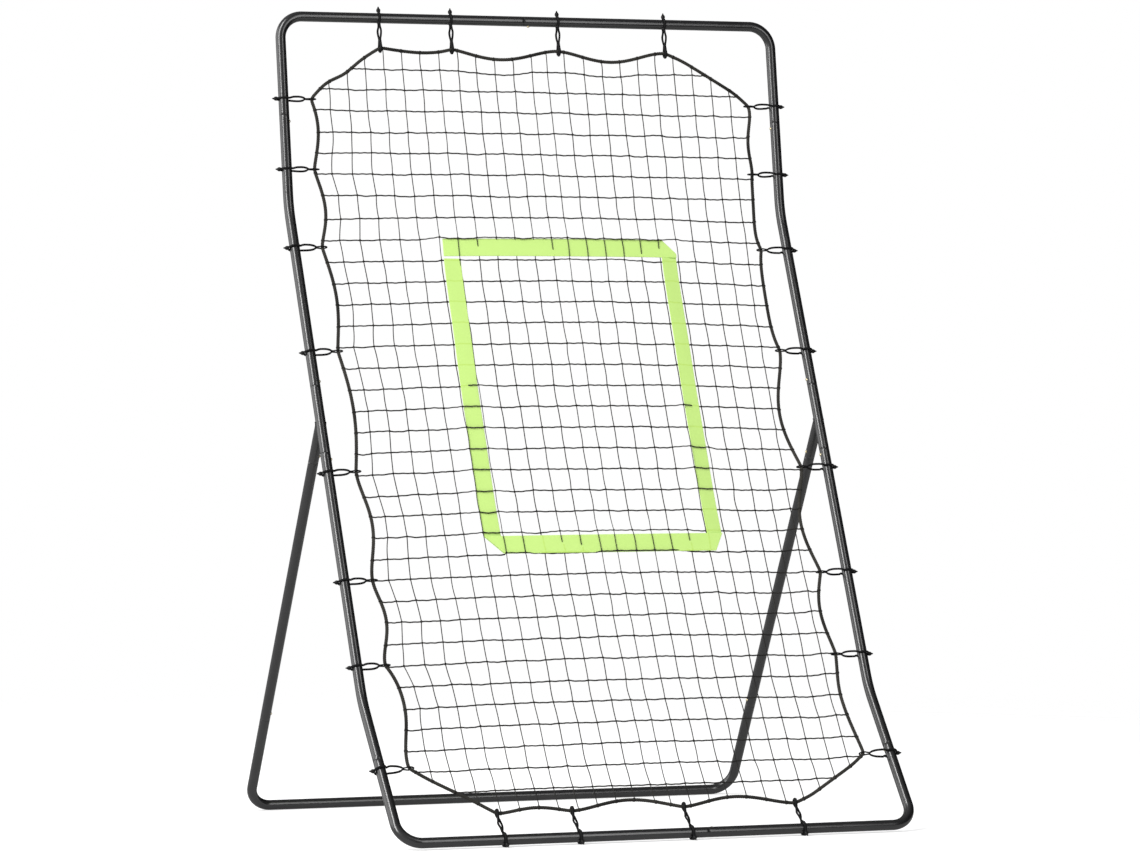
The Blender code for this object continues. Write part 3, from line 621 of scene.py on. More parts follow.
def rearCornerLine(side):
    foot, r = legPoint(side, frameShape["legLength"]), frameShape["cornerRadius"]
    up, inward = (legPoint(side, 0) - foot).normalized(), Vector((-side, 0, 0))
    turns = [math.pi / 2 * k / 24 for k in range(25)]
    return [foot + up * r * (1 - math.sin(t)) + inward * r * (1 - math.cos(t)) for t in turns]


def makeTubes():
    for side, word in ((-1, "left"), (1, "right")):
        u = side * frameShape["halfWidth"]
        barEnd = plugEnd if side < 0 else socketEnd
        topLine = [surface(u, seams["upper"]), *cornerLine(side, True), surface(seams["topBar"], frameLength)]
        coatTube(f"{word}_top_corner_tube", tubeShell(topLine, plugEnd, barEnd, [f"upper_{word}", "top_bar"]))
        upper = sideLine(side, seams["middle"], seams["upper"])
        coatTube(
            f"{word}_upper_side_tube", tubeShell(upper, socketEnd, socketEnd, [f"middle_{word}", f"upper_{word}"])
        )
        lower = sideLine(side, seams["lower"], seams["lowerBranch"])
        coatTube(
            f"{word}_lower_side_tube", tubeShell(lower, plugEnd, socketEnd, [f"lower_{word}", f"lower_branch_{word}"])
        )
        bottom = [surface(u, seams["lower"]), *cornerLine(side, False), surface(seams["bottomBar"], 0.0)]
        coatTube(f"{word}_bottom_corner_tube", tubeShell(bottom, socketEnd, barEnd, [f"lower_{word}", "bottom_bar"]))
        leg = [legPoint(side, seams["legSocket"]), legPoint(side, seams["rearLeg"])]
        coatTube(f"{word}_leg_tube", tubeShell(leg, plugEnd, socketEnd, [f"leg_socket_{word}", f"rear_leg_{word}"]))
        makeBranch(side, word)
    rear = [legPoint(-1, seams["rearLeg"]), *rearCornerLine(-1)]
    rear += reversed([legPoint(1, seams["rearLeg"]), *rearCornerLine(1)])
    coatTube("rear_stand_tube", tubeShell(rear, plugEnd, plugEnd, ["rear_leg_left", "rear_leg_right"]))
    print("tubes made")


branch = {
    "rootShare": 0.985,  # the leg socket is a little narrower where it starts inside the side tube
    "rootRun": 20 * mm,
    "boreStart": 21 * mm,
    "boreExtra": 4 * mm,
    "weldRadius": 1.9 * mm,
    "weldStep": 2.2 * mm,  # from one ripple of the weld to the next
    "weldDepth": 0.10,
}


def makeBranch(side, word):
    # the socket for the leg, cut to fit the side tube and welded all round
    u, r, wall = side * frameShape["halfWidth"], frameShape["tubeRadius"], frameShape["wall"]
    low, high = Vector(surface(u, seams["lowerBranch"])), Vector(surface(u, seams["middle"]))
    upward = (high - low).normalized()
    line = list(reversed(plugEnd(low, -upward))) + plugEnd(high, upward)
    points, radii = [p for p, _ in line], [q for _, q in line]
    body = helper(sweepMesh("body", points, radii, 40))
    past = upward * (plug["length"] + 10 * mm)
    bore = helper(sweepMesh("bore", [low - past, high + past], plug["radius"] - wall, 40))
    end = seams["legSocket"]
    mouth = socketEnd(legPoint(side, end), (legPoint(side, end) - legPoint(side, 0)).normalized())
    socketLine = [(legPoint(side, 0), branch["rootShare"] * r), (legPoint(side, branch["rootRun"]), r), *mouth]
    socket = helper(sweepMesh("socket", [p for p, _ in socketLine], [q for _, q in socketLine], 40))
    hollow = [legPoint(side, branch["boreStart"]), legPoint(side, end + branch["boreExtra"])]
    socketBore = helper(sweepMesh("bore", hollow, r - wall, 40))
    for other, operation in ((socket, "UNION"), (bore, "DIFFERENCE"), (socketBore, "DIFFERENCE")):
        cut = body.modifiers.new("join", "BOOLEAN")
        cut.operation, cut.solver, cut.object = operation, "EXACT", other
    cutHoles(body, [f"middle_{word}", f"lower_branch_{word}", f"leg_socket_{word}"])
    coatTube(f"{word}_branch_joint", body)
    for other in (bore, socket, socketBore):
        bpy.data.objects.remove(other)
    # the weld follows the line where the two tubes meet, with the ripples of its separate beads
    root, down = legPoint(side, 0), (legPoint(side, 1) - legPoint(side, 0)).normalized()
    across = Vector((1, 0, 0))
    third = down.cross(across)
    seam = []
    for a in np.linspace(0, 2 * math.pi, 72, endpoint=False):
        offset = r * (math.cos(a) * across + math.sin(a) * third)
        flat, rise = offset - upward * offset.dot(upward), down - upward * down.dot(upward)
        b, c = flat.dot(rise) / rise.dot(rise), (flat.dot(flat) - r * r) / rise.dot(rise)
        t = -b + math.sqrt(max(0.0, b * b - c))
        seam.append(root + offset + down * t)
    weld = sweepMesh(
        "weld",
        seam,
        branch["weldRadius"],
        10,
        closed=True,
        ripple=lambda a, v: 1 + branch["weldDepth"] * np.sin(2 * math.pi * v / branch["weldStep"]),
    )
    piece(f"{word}_branch_weld", weld, coat)


holeCutters = {name: buttonHole(name) for name in seats}
makeTubes()
for cutter in holeCutters.values():
    bpy.data.objects.remove(cutter)


# Edge rope

loops = {
    "side": [s * mm for s in (186, 437, 628, 876, 1155, 1400, 1578, 1732)],
    "bar": [u * mm for u in (-352, -185, 67, 322)],
}
rope = {
    "radius": 3.75 * mm,
    "lay": 13.5 * mm,  # one full turn of its strands
    "strands": 3,
    "groove": (0.87, 0.16),  # its radius between two strands, as a share, and how much a strand adds
    # clockwise from the lowest loop on the left, how far each span stands inward of the straight line between its
    # loops, in mm, a quarter, half and three quarters of the way along
    "sags": (
        (7.7, 22.9, 24.4), (8.2, 16.8, 10.3), (10.0, 17.9, 9.6), (10.6, 14.9, 10.5),
        (10.0, 14.9, 10.3), (12.4, 19.6, 12.9), (7.7, 12.9, 10.6), (-7.8, -0.8, -3.3),
        (5.4, 9.0, 8.1), (15.5, 21.1, 9.9), (14.0, 22.2, 11.0), (-6.6, -7.3, -7.6),
        (0.0, 5.7, 3.8), (1.7, 3.3, 7.1), (10.0, 12.0, 11.7), (15.1, 29.6, 23.5),
        (15.5, 27.0, 19.7), (14.0, 18.7, 11.4), (6.8, 9.9, 5.9), (-5.9, -6.5, -6.9),
        (11.2, 20.6, 13.0), (15.3, 21.5, 11.7), (7.9, 11.1, 5.8), (0.0, -1.6, -3.0),
    ),
}


def drape(t, sags):
    # a smooth line through the three sags of a span; one that bows outward is straighter near its ends
    values = (0, *sags, 0)
    if min(sags) >= 0:
        return np.polyval(np.polyfit((0, 0.25, 0.5, 0.75, 1), values, 4), t)
    steps = [b - a for a, b in zip(values, values[1:])]
    slopes = [2 * a * b / (a + b) if a * b > 0 else 0.0 for a, b in zip(steps, steps[1:])]
    slopes = [1.4 * steps[0], *slopes, 1.4 * steps[-1]]
    k = min(int(4 * t), 3)
    x = 4 * t - k
    held = values[k] * (1 + 2 * x) * (1 - x) ** 2 + values[k + 1] * x * x * (3 - 2 * x)
    return held + slopes[k] * x * (1 - x) ** 2 + slopes[k + 1] * x * x * (x - 1)


def ropeRoute():
    # the rope's axis as (u, s), clockwise from the lowest loop on the left, turning at each loop
    side = frameShape["halfWidth"] - sideInset
    top = frameLength - barInset
    left = [(-side, s) for s in loops["side"]]
    right = [(side, s) for s in reversed(loops["side"])]
    over = [(u, top) for u in loops["bar"]]
    under = [(u, barInset) for u in reversed(loops["bar"])]
    held = np.array(left + over + right + under)
    route = []
    for a, b, sags in zip(held, np.roll(held, -1, 0), rope["sags"]):
        span = b - a
        inward = np.array((span[1], -span[0])) / np.linalg.norm(span)
        steps = max(8, round(np.linalg.norm(span) / (4 * mm)))
        for t in np.arange(steps) / steps:
            route.append(a + span * t + inward * drape(t, sags) * mm)
    route = np.array(route)
    for _ in range(3):  # the rope is too stiff for a sharp kink at its loops
        route = (np.roll(route, 1, 0) + 2 * route + np.roll(route, -1, 0)) / 4
    return route


ropeLine = ropeRoute()


def makeRope():
    # three strands laid together, each showing as a ridge that winds along the rope
    points = smoothLine(onNet(*ropeLine.T), 4, closed=True)
    turns, half = 2 * math.pi / rope["lay"], rope["strands"] / 2
    low, rise = rope["groove"]
    mesh = sweepMesh(
        "rope",
        points,
        rope["radius"],
        10,
        closed=True,
        ripple=lambda a, v: low + rise * np.abs(np.cos(half * a - half * turns * v)),
    )
    piece("edge_rope_laid", mesh, ropeYarn, ["edge_rope"])
    print("edge rope made,", len(points), "steps")


makeRope()


# Elastic loops

loop = {
    "beadDip": 30,  # degrees below level, for the bottom bar's beads
    "along": (14, 20, 27, 34, 40, 45, 49),  # mm from the tube's axis to places on the two strands
    "front": (10.4, 8.9, 7.1, 5.3, 3.8, 2.7, 2.2),  # how far the strands stand to the front and to the back there
    # gaps: how far the front and the back strand stand up and down there; lean: how far the turns on the tube stand
    # aside; radii: the cord's at the tube, between and over the rope, thicker where it runs double and is drawn as
    # one strand; hook: its reach past the rope; all in mm
    "side": {
        "gaps": ((1.4, 3.0, 3.7, 4.0, 3.5, 2.3, 0.4), (1.8, 2.6, 3.5, 4.0, 3.8, 2.6, 0.4)),
        "lean": 0.8,
        "radii": (2.3, 2.3, 1.6),
        "hook": 10.5,
    },
    "top": {
        "gaps": ((-2.2, -1.0, 1.2, 1.6, 1.2, 0.5, 0.3),) * 2,
        "lean": -1.5,
        "radii": (2.4, 2.3, 2.9),
        "hook": 8.6,
    },
    "bottom": {
        "gaps": ((4.2, 4.2, 4.2, 5.3, 5.0, 3.4, 2.2),) * 2,
        "lean": 0.8,
        "radii": (3.0, 2.25, 2.9),
        "hook": 8.6,
    },
    "tapers": (8, 16, 44, 52),  # mm from the tube's axis, between which the cord's radius changes
    # how far each side loop's tube end lies below its rope end, from the lowest pair up, in mm
    "drops": {"left": (3, 3, 2.5, 3, 3, 1.5, 0.5, 0), "right": (1, 1, 0.5, 1, 1.5, 1, 0.5, 0)},
    "slack": (0.9, 1.1),
    "seed": 7,
}
bead = {
    "sides": 20,
    "drop": 1.35,  # how much lower a bead hangs than its loop's tube end
    # radius and distance from the tube's axis, in mm: the collar where the cord goes in, the barrel, the pinched stub
    "outline": (
        (0, 13.0), (2.6, 13.0), (3.6, 13.6), (4.3, 15.0), (4.6, 16.8), (4.5, 18.4), (3.9, 20.0),
        (2.9, 21.4), (2.1, 22.3), (1.7, 23.2), (1.5, 24.8), (1.0, 25.6), (0, 25.7),
    ),
}


def loopLine(kind, reach, turn, slack, drop):
    # closed path in the tube's own frame, X to the rope, Y along the tube, Z to the front; and the radius along it
    gaps, lean, radii, hook = (loop[kind][key] for key in ("gaps", "lean", "radii", "hook"))
    hook *= mm
    wrap = frameShape["tubeRadius"] + radii[0] * mm + 0.05 * mm
    over = rope["radius"] + radii[2] * mm + 0.2 * mm
    strands = []
    for way, gap in zip((1, -1), gaps):
        start = way * math.pi - turn
        strand = [(17.5 * mm * math.cos(start), way * lean * 0.6 * mm, 17.5 * mm * math.sin(start))]
        angle = start - way * math.radians(22)
        while way * angle > math.radians(24):
            strand.append((wrap * math.cos(angle), way * lean * mm, wrap * math.sin(angle)))
            angle -= way * math.radians(20)
        for place, front, aside in zip(loop["along"], loop["front"], gap):
            strand.append((place * mm, way * aside * slack * mm, way * front * mm))
        beside = gap[-1] * 0.6 * mm
        strand += [
            (reach - 8 * mm, way * beside, way * over * 0.62),
            (reach - 1 * mm, way * beside * 0.5, way * over),
            (reach + 4.6 * mm, 0, way * over * 0.88),
            (reach + 0.88 * hook, 0, way * over * 0.45),
        ]
        strands.append(strand)
    route = strands[0] + [(reach + hook, 0, 0)] + list(reversed(strands[1]))
    line = smoothLine(route, 4, closed=True)
    line[:, 1] -= drop * mm * np.clip(1 - line[:, 0] / reach, 0, 1.4)
    atTube, between, atRope = (r * mm for r in radii)
    radius = np.interp(line[:, 0], np.array(loop["tapers"]) * mm, (atTube, between, between, atRope))
    return line, radius


def beadMesh(turn):
    mesh = lathe("bead", [(r * mm, z * mm) for r, z in bead["outline"]], bead["sides"])
    mesh.transform(Matrix.Rotation(-math.pi / 2 + turn, 4, "Y"))
    return mesh


def makeLoop(node, kind, seat, inward, s, reach, turn, slack, drop=0.0, mirrored=False):
    front = frontAt(s)
    turned = Matrix((inward, front.cross(inward), front)).transposed().to_4x4()
    turned = Matrix.Translation(seat) @ turned
    line, radius = loopLine(kind, reach, turn, slack, drop)
    if mirrored:
        line[:, 1] *= -1
    cord = sweepMesh("cord", line, radius, 10, closed=True)
    cord.transform(turned)
    for vertex in cord.vertices:  # the cord under the bottom bar is pressed flat on the floor
        vertex.co.z = max(vertex.co.z, 0.05 * mm)
    piece(f"{node}_cord", cord, elastic, [node])
    barrel = beadMesh(turn)
    barrel.transform(turned @ Matrix.Translation((0, (drop if mirrored else -drop) * bead["drop"] * mm, 0)))
    piece(f"{node}_bead", barrel, nylon)


def makeLoops():
    chance = np.random.default_rng(loop["seed"])
    for number, s in enumerate(loops["side"], 1):
        for side, word in ((-1, "left"), (1, "right")):
            seat = Vector(surface(side * frameShape["halfWidth"], s))
            slack = chance.uniform(*loop["slack"])
            node = f"elastic_loop_{word}_{number}"
            drop = loop["drops"][word][number - 1]
            makeLoop(node, "side", seat, Vector((-side, 0, 0)), s, sideInset, 0.0, slack, drop, side > 0)
    turn = math.radians(frameShape["slopes"][0] - loop["beadDip"])
    for number, u in enumerate(loops["bar"], 1):
        top, bottom = Vector(surface(u, frameLength)), Vector(surface(u, 0.0))
        slack = chance.uniform(*loop["slack"])
        makeLoop(f"elastic_loop_top_{number}", "top", top, -upAt(frameLength), frameLength, barInset, 0.0, slack)
        makeLoop(f"elastic_loop_bottom_{number}", "bottom", bottom, upAt(0.0), 0.0, barInset, turn, slack)
    print("elastic loops made: 24")


makeLoops()


# Net

net = {
    "columns": 23,
    "rows": 35,
    "columnMarks": (0, 11, 12, 22),  # columns counted from the left, and where they lie in mm
    "columnPlaces": (-473.0, 4.1, 41.1, 475.5),
    "rowPlaces": (  # from the top, in mm
        1800.7, 1754.7, 1708.2, 1660.8, 1614.6, 1567.8, 1520.3, 1467.2, 1415,
        1363.2, 1312.4, 1262.4, 1212.3, 1162.3, 1112.5, 1062.6, 1013.4, 964.5,
        915.6, 866.6, 817.6, 769.8, 721.9, 674, 626.3, 578.8, 530.9,
        482.9, 434.6, 386.8, 335.3, 281.5, 228.3, 174.8, 122.7,
    ),
    # how far the whole sheet hangs to the right, in mm, at heights s in mm
    "swayMarks": (170, 237, 305, 372, 440, 550, 650, 780, 920, 1050, 1180, 1320, 1420, 1500, 1570, 1655, 1722, 1790),
    "sways": (0, 3.4, 7.5, 8.4, 5.9, 2, -1.3, -5.2, -5.2, -4.8, -2.1, 0.6, 6, 8.3, 4.8, 0.6, -2.3, -4.4),
    "columnRadius": 1.1 * mm,
    "rowRadius": 1.72 * mm,
    "knotRadius": 2.6 * mm,
    "wander": 1.3 * mm,
    "rowSag": 0.8 * mm,  # between two knots
    "ripple": 0.4 * mm,  # the rows' small waves
    "waves": (1.6, 2.5),  # of them to a mesh
    "tautness": 0.2,  # how much thinner a strand is where it is stretched over the strap
    "liftShift": 0.4,  # the strap pushes a strand over it to the left, by this share of its lift
    "edgePull": (0.8, 0.5, 0.3, 0.15),  # how far the left columns follow the rope's scallops
    "swayFade": ((-470 * mm, -200 * mm), (0.3, 1.0)),  # the left edge sways less
    "rightRise": 10 * mm,  # the lower rows rise at their right end
    "risesBelow": 900 * mm,
    "riseRun": 85 * mm,
    "firstRowDip": 0.6,  # the first row follows this share of the rope's sag
    "margin": 8 * mm,  # no knot stands closer to the rope
    "scatter": (0.6 * mm, 0.7 * mm),
    "seed": 21,
}
strap = {
    "widths": {"top": 41.4 * mm, "bottom": 40 * mm, "left": 39 * mm, "right": 36 * mm},
    "sheet": 1.5 * mm,
    "left": (-252.6 * mm, -257.6 * mm),  # outer edge of the left band, at its top and at its bottom
    "right": (296.4 * mm, 293.4 * mm),
    "top": 1411.9 * mm,
    "bottom": 673.2 * mm,
    "bows": {"top": 0.8 * mm, "bottom": 2 * mm, "left": 0, "right": 0},  # how far a band's middle hangs down
    "fold": 32 * mm,
    "endGap": 5 * mm,
    "lift": 2.6 * mm,
    "strandPlay": (0.4 * mm, 0.3 * mm),  # between the webbing and a strand in front of it, or behind it
    "wave": 0.2 * mm,
    "clearAt": 3 * mm,  # a strand behind a band is held back up to here outside it
    # a strand in front keeps its height up to the first distance outside a band, and comes down over the second
    "approach": (2.5 * mm, 12 * mm),
    # a strand's mark is painted shade on the webbing as well as a small relief
    "pressAndShadeWidth": 1.3 * mm,  # a strand behind the webbing marks it this far to each side
    "pressRelief": 0.12 * mm,
    "cornerCut": 22 * mm,  # taken off the bottom band's lower right corner
    "slant": (1.8, 14 * mm),  # the right band's foot: how steep its cut is, and where across the band it starts
    "tuck": 1 * mm,  # a side band starts this far inside the band that it goes under
    "steps": {"top": 330, "bottom": 330, "left": 430, "right": 430},
    "tilts": {"top": 3, "bottom": 3, "left": -3, "right": -5},  # degrees, about each band's own length
    # the net's strands in front of each band, and how much of its width they cover from its upper or left edge;
    # a negative share counts from the right edge
    "over": {
        "top": {6: 1, 7: 0.45, 11: 0.65, 12: 1, 13: 1, 14: 1, 15: 1, 16: 0.93, 17: 0.45},
        "bottom": {6: 1, 7: 1, 9: 0.4, 10: 0.65, 11: 1, 12: 1, 13: 1, 14: 1, 15: 1, 16: 0.4},
        "left": {15: -0.5, 16: 1, 17: 1, 18: 1, 19: 1, 20: 1, 21: 1, 22: 1},
        "right": {16: 0.55, 18: 1, 19: 1, 20: 1},
    },
    "rowsAlong": {8: "top"},  # a row that runs along a band's edge, in front of it
}


def crossings(axis, place):
    # the lowest and highest other coordinate at which the rope crosses a line
    along, other = ropeLine[:, axis] - place, ropeLine[:, 1 - axis]
    after, otherAfter = np.roll(along, -1), np.roll(other, -1)
    hit = (along < 0) != (after < 0)
    share = along[hit] / (along[hit] - after[hit])
    found = other[hit] + share * (otherAfter[hit] - other[hit])
    return (found.min(), found.max()) if len(found) else (0, 0)


swayLine = smoothLine(np.stack([net["swayMarks"], net["sways"]], 1) * mm, 8)


def sway(s):
    return np.interp(s, swayLine[:, 0], swayLine[:, 1])


def netGrid():
    chance = np.random.default_rng(net["seed"])
    margin, (scatterU, scatterS) = net["margin"], net["scatter"]
    columns = np.interp(range(net["columns"]), net["columnMarks"], net["columnPlaces"]) * mm
    rows = np.array(net["rowPlaces"]) * mm
    leftEnds = np.array([crossings(1, s)[0] for s in rows])
    spot = {}
    for i, u in enumerate(columns):
        low, high = crossings(0, u)
        for j, s in enumerate(rows):
            leftEnd, rightEnd = crossings(1, s)
            pull = net["edgePull"][i] if i < len(net["edgePull"]) else 0.0
            place = u + sway(s) * np.interp(u, *net["swayFade"])
            if 2 < j < net["rows"] - 3:
                place += pull * (leftEnd - leftEnds[3:-3].mean())
            rise = 0.0
            if s < net["risesBelow"]:
                rise = net["rightRise"] * max(0.0, 1 - (rightEnd - place) / net["riseRun"]) ** 2
            if j == 0 and loops["bar"][0] < u < loops["bar"][-1]:  # the rope's sag pulls the first row down
                rise -= net["firstRowDip"] * max(0.0, frameLength - barInset - high - margin)
            if j in strap["rowsAlong"] and strap["left"][0] < u < strap["right"][0] - strap["fold"]:
                rise = strap["top"] + 0.4 * mm - s
            if low + margin < s < high - margin and leftEnd + margin < place < rightEnd - margin:
                spot[i, j] = (place + chance.normal(0, scatterU), s + rise + chance.normal(0, scatterS))
    return spot


def bandHeight(name, share):
    # a strap band's middle in front of the net, from its low side (share 0) to its high side
    turn = math.sin(math.radians(strap["tilts"][name])) * strap["widths"][name] / 2
    layers = 2 * strap["sheet"] if name in ("top", "bottom") else 0.0
    return strap["lift"] + layers + abs(turn) + turn * (2 * share - 1)


def bandPlace(name, u, s):
    # a place's share of the band's width from its low side, and how far outside the band it is
    wide, top, bottom = strap["widths"][name], strap["top"], strap["bottom"]
    fall, u = (top - s) / (top - bottom), u - sway(s)
    left, right = (a + (b - a) * fall for a, b in (strap["left"], strap["right"]))
    low = {"top": top - wide, "bottom": bottom, "left": left, "right": right - wide}[name]
    level = name in ("top", "bottom")
    share = ((s if level else u) - low) / wide
    beyond = max(left - u, u - right) if level else max(bottom - s, s - top)
    return share, max(beyond, -share * wide, (share - 1) * wide, 0.0)


def strandLift(line, alongColumn, u, s, radius, rest):
    # a strand's height in front of the net's own surface: over some bands and behind the others
    lift, over = rest, False
    (inFront, inBack), (keep, fall) = strap["strandPlay"], strap["approach"]
    for name in ("top", "bottom") if alongColumn else ("left", "right", "top"):
        share, outside = bandPlace(name, u, s)
        covered = strap["over"][name].get(line, 0)
        if not alongColumn and name == "top":
            if strap["rowsAlong"].get(line) != name:
                continue
            covered = 1
        share = min(max(share, 0.0), 1.0)
        depth = 1 - share if alongColumn else share
        if covered < 0:
            depth, covered = 1 - depth, -covered
        clear = strap["sheet"] / 2 + radius
        if covered and depth <= covered:
            near = min(max(1 - (outside - keep) / fall, 0.0), 1.0)
            near = near * near * (3 - 2 * near)
            if near > 0:
                lift, over = max(lift, near * (bandHeight(name, share) + clear + inFront) + (1 - near) * rest), True
        elif outside < strap["clearAt"]:
            lift = min(lift, bandHeight(name, share) - clear - inBack)
    return lift, over


def netWires():
    # every strand as a chain of points, with a mark on the knots and on the ends that are tied to the rope
    chance = np.random.default_rng(net["seed"] + 1)
    spot = netGrid()
    places, lifts, knots, ends = [], [], [], []
    index, chains = {}, {True: [], False: []}

    def addPoint(u, s, lift, knot=False):
        places.append((u, s))
        lifts.append(lift)
        knots.append(knot)
        return len(places) - 1

    def stretch(a, b, line, alongColumn):
        # the points between two ends, wandering and sagging a little
        (u0, s0, lift0), (u1, s1, lift1) = a, b
        wander = chance.normal(0, net["wander"] * 0.5, 2)
        waves, phase = chance.uniform(*net["waves"]), chance.uniform(0, 2 * math.pi)
        radius = net["columnRadius"] if alongColumn else net["rowRadius"]
        chain = []
        for t in np.arange(1, 6) / 6 if alongColumn else np.arange(1, 10) / 10:
            bow = 4 * t * (1 - t)
            u, s = u0 + (u1 - u0) * t, s0 + (s1 - s0) * t
            if alongColumn:
                u += bow * wander[0]
            else:
                ripple = net["ripple"] * min(1.0, 2 * bow) * math.sin(2 * math.pi * waves * t + phase)
                s += bow * (wander[0] - net["rowSag"]) + ripple
            rest = lift0 + (lift1 - lift0) * t + bow * wander[1] * 0.4
            chain.append(addPoint(u, s, strandLift(line, alongColumn, u, s, radius, rest)[0]))
        return chain

    knotLift = {}
    for (i, j), (u, s) in spot.items():
        column = strandLift(i, True, u, s, net["columnRadius"], 0.0)
        row = strandLift(j, False, u, s, net["rowRadius"], 0.0)
        over = [lift for lift, raised in (column, row) if raised]
        knotLift[i, j] = max(over) if over else min(column[0], row[0])
        index[i, j] = addPoint(u, s, knotLift[i, j], True)
    for alongColumn in (True, False):
        for line in range(net["columns"] if alongColumn else net["rows"]):
            inside = sorted(k for k in spot if k[0 if alongColumn else 1] == line)
            if not inside:
                continue
            first, last = spot[inside[0]], spot[inside[-1]]
            if alongColumn:
                start, finish = (first[0], crossings(0, first[0])[1], 0.0), (last[0], crossings(0, last[0])[0], 0.0)
            else:
                start, finish = (crossings(1, first[1])[0], first[1], 0.0), (crossings(1, last[1])[1], last[1], 0.0)
            chain = [addPoint(*start)]
            ends.append(chain[0])
            previous = start
            for key in inside:
                spotted = (*spot[key], knotLift[key])
                chain += stretch(previous, spotted, line, alongColumn) + [index[key]]
                previous = spotted
            chain += stretch(previous, finish, line, alongColumn)
            chain.append(addPoint(*finish))
            ends.append(chain[-1])
            chains[alongColumn].append(chain)
    places, lifts = np.array(places), np.array(lifts)
    places[:, 0] -= net["liftShift"] * np.maximum(lifts, 0)
    points = onNet(*places.T, lifts)
    return points, chains, np.array(knots), places, lifts, ends


def nodeTree(name, inputs):
    # a Geometry Nodes tree with named inputs; returns it with its input and output nodes
    tree = bpy.data.node_groups.new(name, "GeometryNodeTree")
    tree.interface.new_socket("Geometry", in_out="INPUT", socket_type="NodeSocketGeometry")
    for label, kind, value in inputs:
        socket = tree.interface.new_socket(label, in_out="INPUT", socket_type=kind)
        if value is not None:
            socket.default_value = value
    tree.interface.new_socket("Geometry", in_out="OUTPUT", socket_type="NodeSocketGeometry")
    return tree, tree.nodes.new("NodeGroupInput"), tree.nodes.new("NodeGroupOutput")


def grown(base, tree, values):
    # the mesh that a tree makes from a base mesh
    made = helper(base)
    modifier = made.modifiers.new(tree.name, "NODES")
    modifier.node_group = tree
    for item in tree.interface.items_tree:
        if item.in_out == "INPUT" and item.name in values:
            modifier[item.identifier] = values[item.name]
    return applied(made)


def twineTree():
    # round twine along every edge and a knot at every marked point
    tree, given, result = nodeTree(
        "knottedTwine",
        [
            ("Twine Radius", "NodeSocketFloat", 1 * mm),
            ("Knot Radius", "NodeSocketFloat", 2 * mm),
            ("Seed", "NodeSocketInt", 0),
            ("Yarn", "NodeSocketMaterial", None),
        ],
    )
    toCurve = add(tree, "GeometryNodeMeshToCurve", Mesh=given.outputs["Geometry"])
    ring = add(tree, "GeometryNodeCurvePrimitiveCircle", {"Resolution": 6}, i4=given.outputs["Twine Radius"])
    girth = add(tree, "GeometryNodeInputNamedAttribute", {"data_type": "FLOAT", "Name": "girth"})
    strands = add(
        tree,
        "GeometryNodeCurveToMesh",
        Curve=toCurve.outputs["Curve"],
        Profile_Curve=ring.outputs["Curve"],
        Scale=girth.outputs["Attribute"],
    )
    ball = add(
        tree, "GeometryNodeMeshUVSphere", {"Segments": 8, "Rings": 6}, Radius=given.outputs["Knot Radius"]
    )
    marked = add(tree, "GeometryNodeInputNamedAttribute", {"data_type": "BOOLEAN", "Name": "knot"})
    turn = add(
        tree,
        "FunctionNodeRandomValue",
        {"data_type": "FLOAT_VECTOR"},
        i0=(0, 0, 0),
        i1=(6.28, 6.28, 6.28),
        Seed=given.outputs["Seed"],
    )
    size = add(
        tree,
        "FunctionNodeRandomValue",
        {"data_type": "FLOAT_VECTOR"},
        i0=(0.75, 0.75, 0.75),
        i1=(1.15, 1.15, 1.15),
        Seed=given.outputs["Seed"],
    )
    instances = add(
        tree,
        "GeometryNodeInstanceOnPoints",
        Points=given.outputs["Geometry"],
        Selection=marked.outputs["Attribute"],
        Instance=ball.outputs["Mesh"],
        Rotation=turn.outputs[0],
        Scale=size.outputs[0],
    )
    real = add(tree, "GeometryNodeRealizeInstances", Geometry=instances.outputs["Instances"])
    both = tree.nodes.new("GeometryNodeJoinGeometry")
    tree.links.new(strands.outputs["Mesh"], both.inputs[0])
    tree.links.new(real.outputs["Geometry"], both.inputs[0])
    smooth = add(tree, "GeometryNodeSetShadeSmooth", Geometry=both.outputs["Geometry"])
    painted = add(
        tree, "GeometryNodeSetMaterial", Geometry=smooth.outputs["Geometry"], Material=given.outputs["Yarn"]
    )
    tree.links.new(painted.outputs["Geometry"], result.inputs["Geometry"])
    return tree


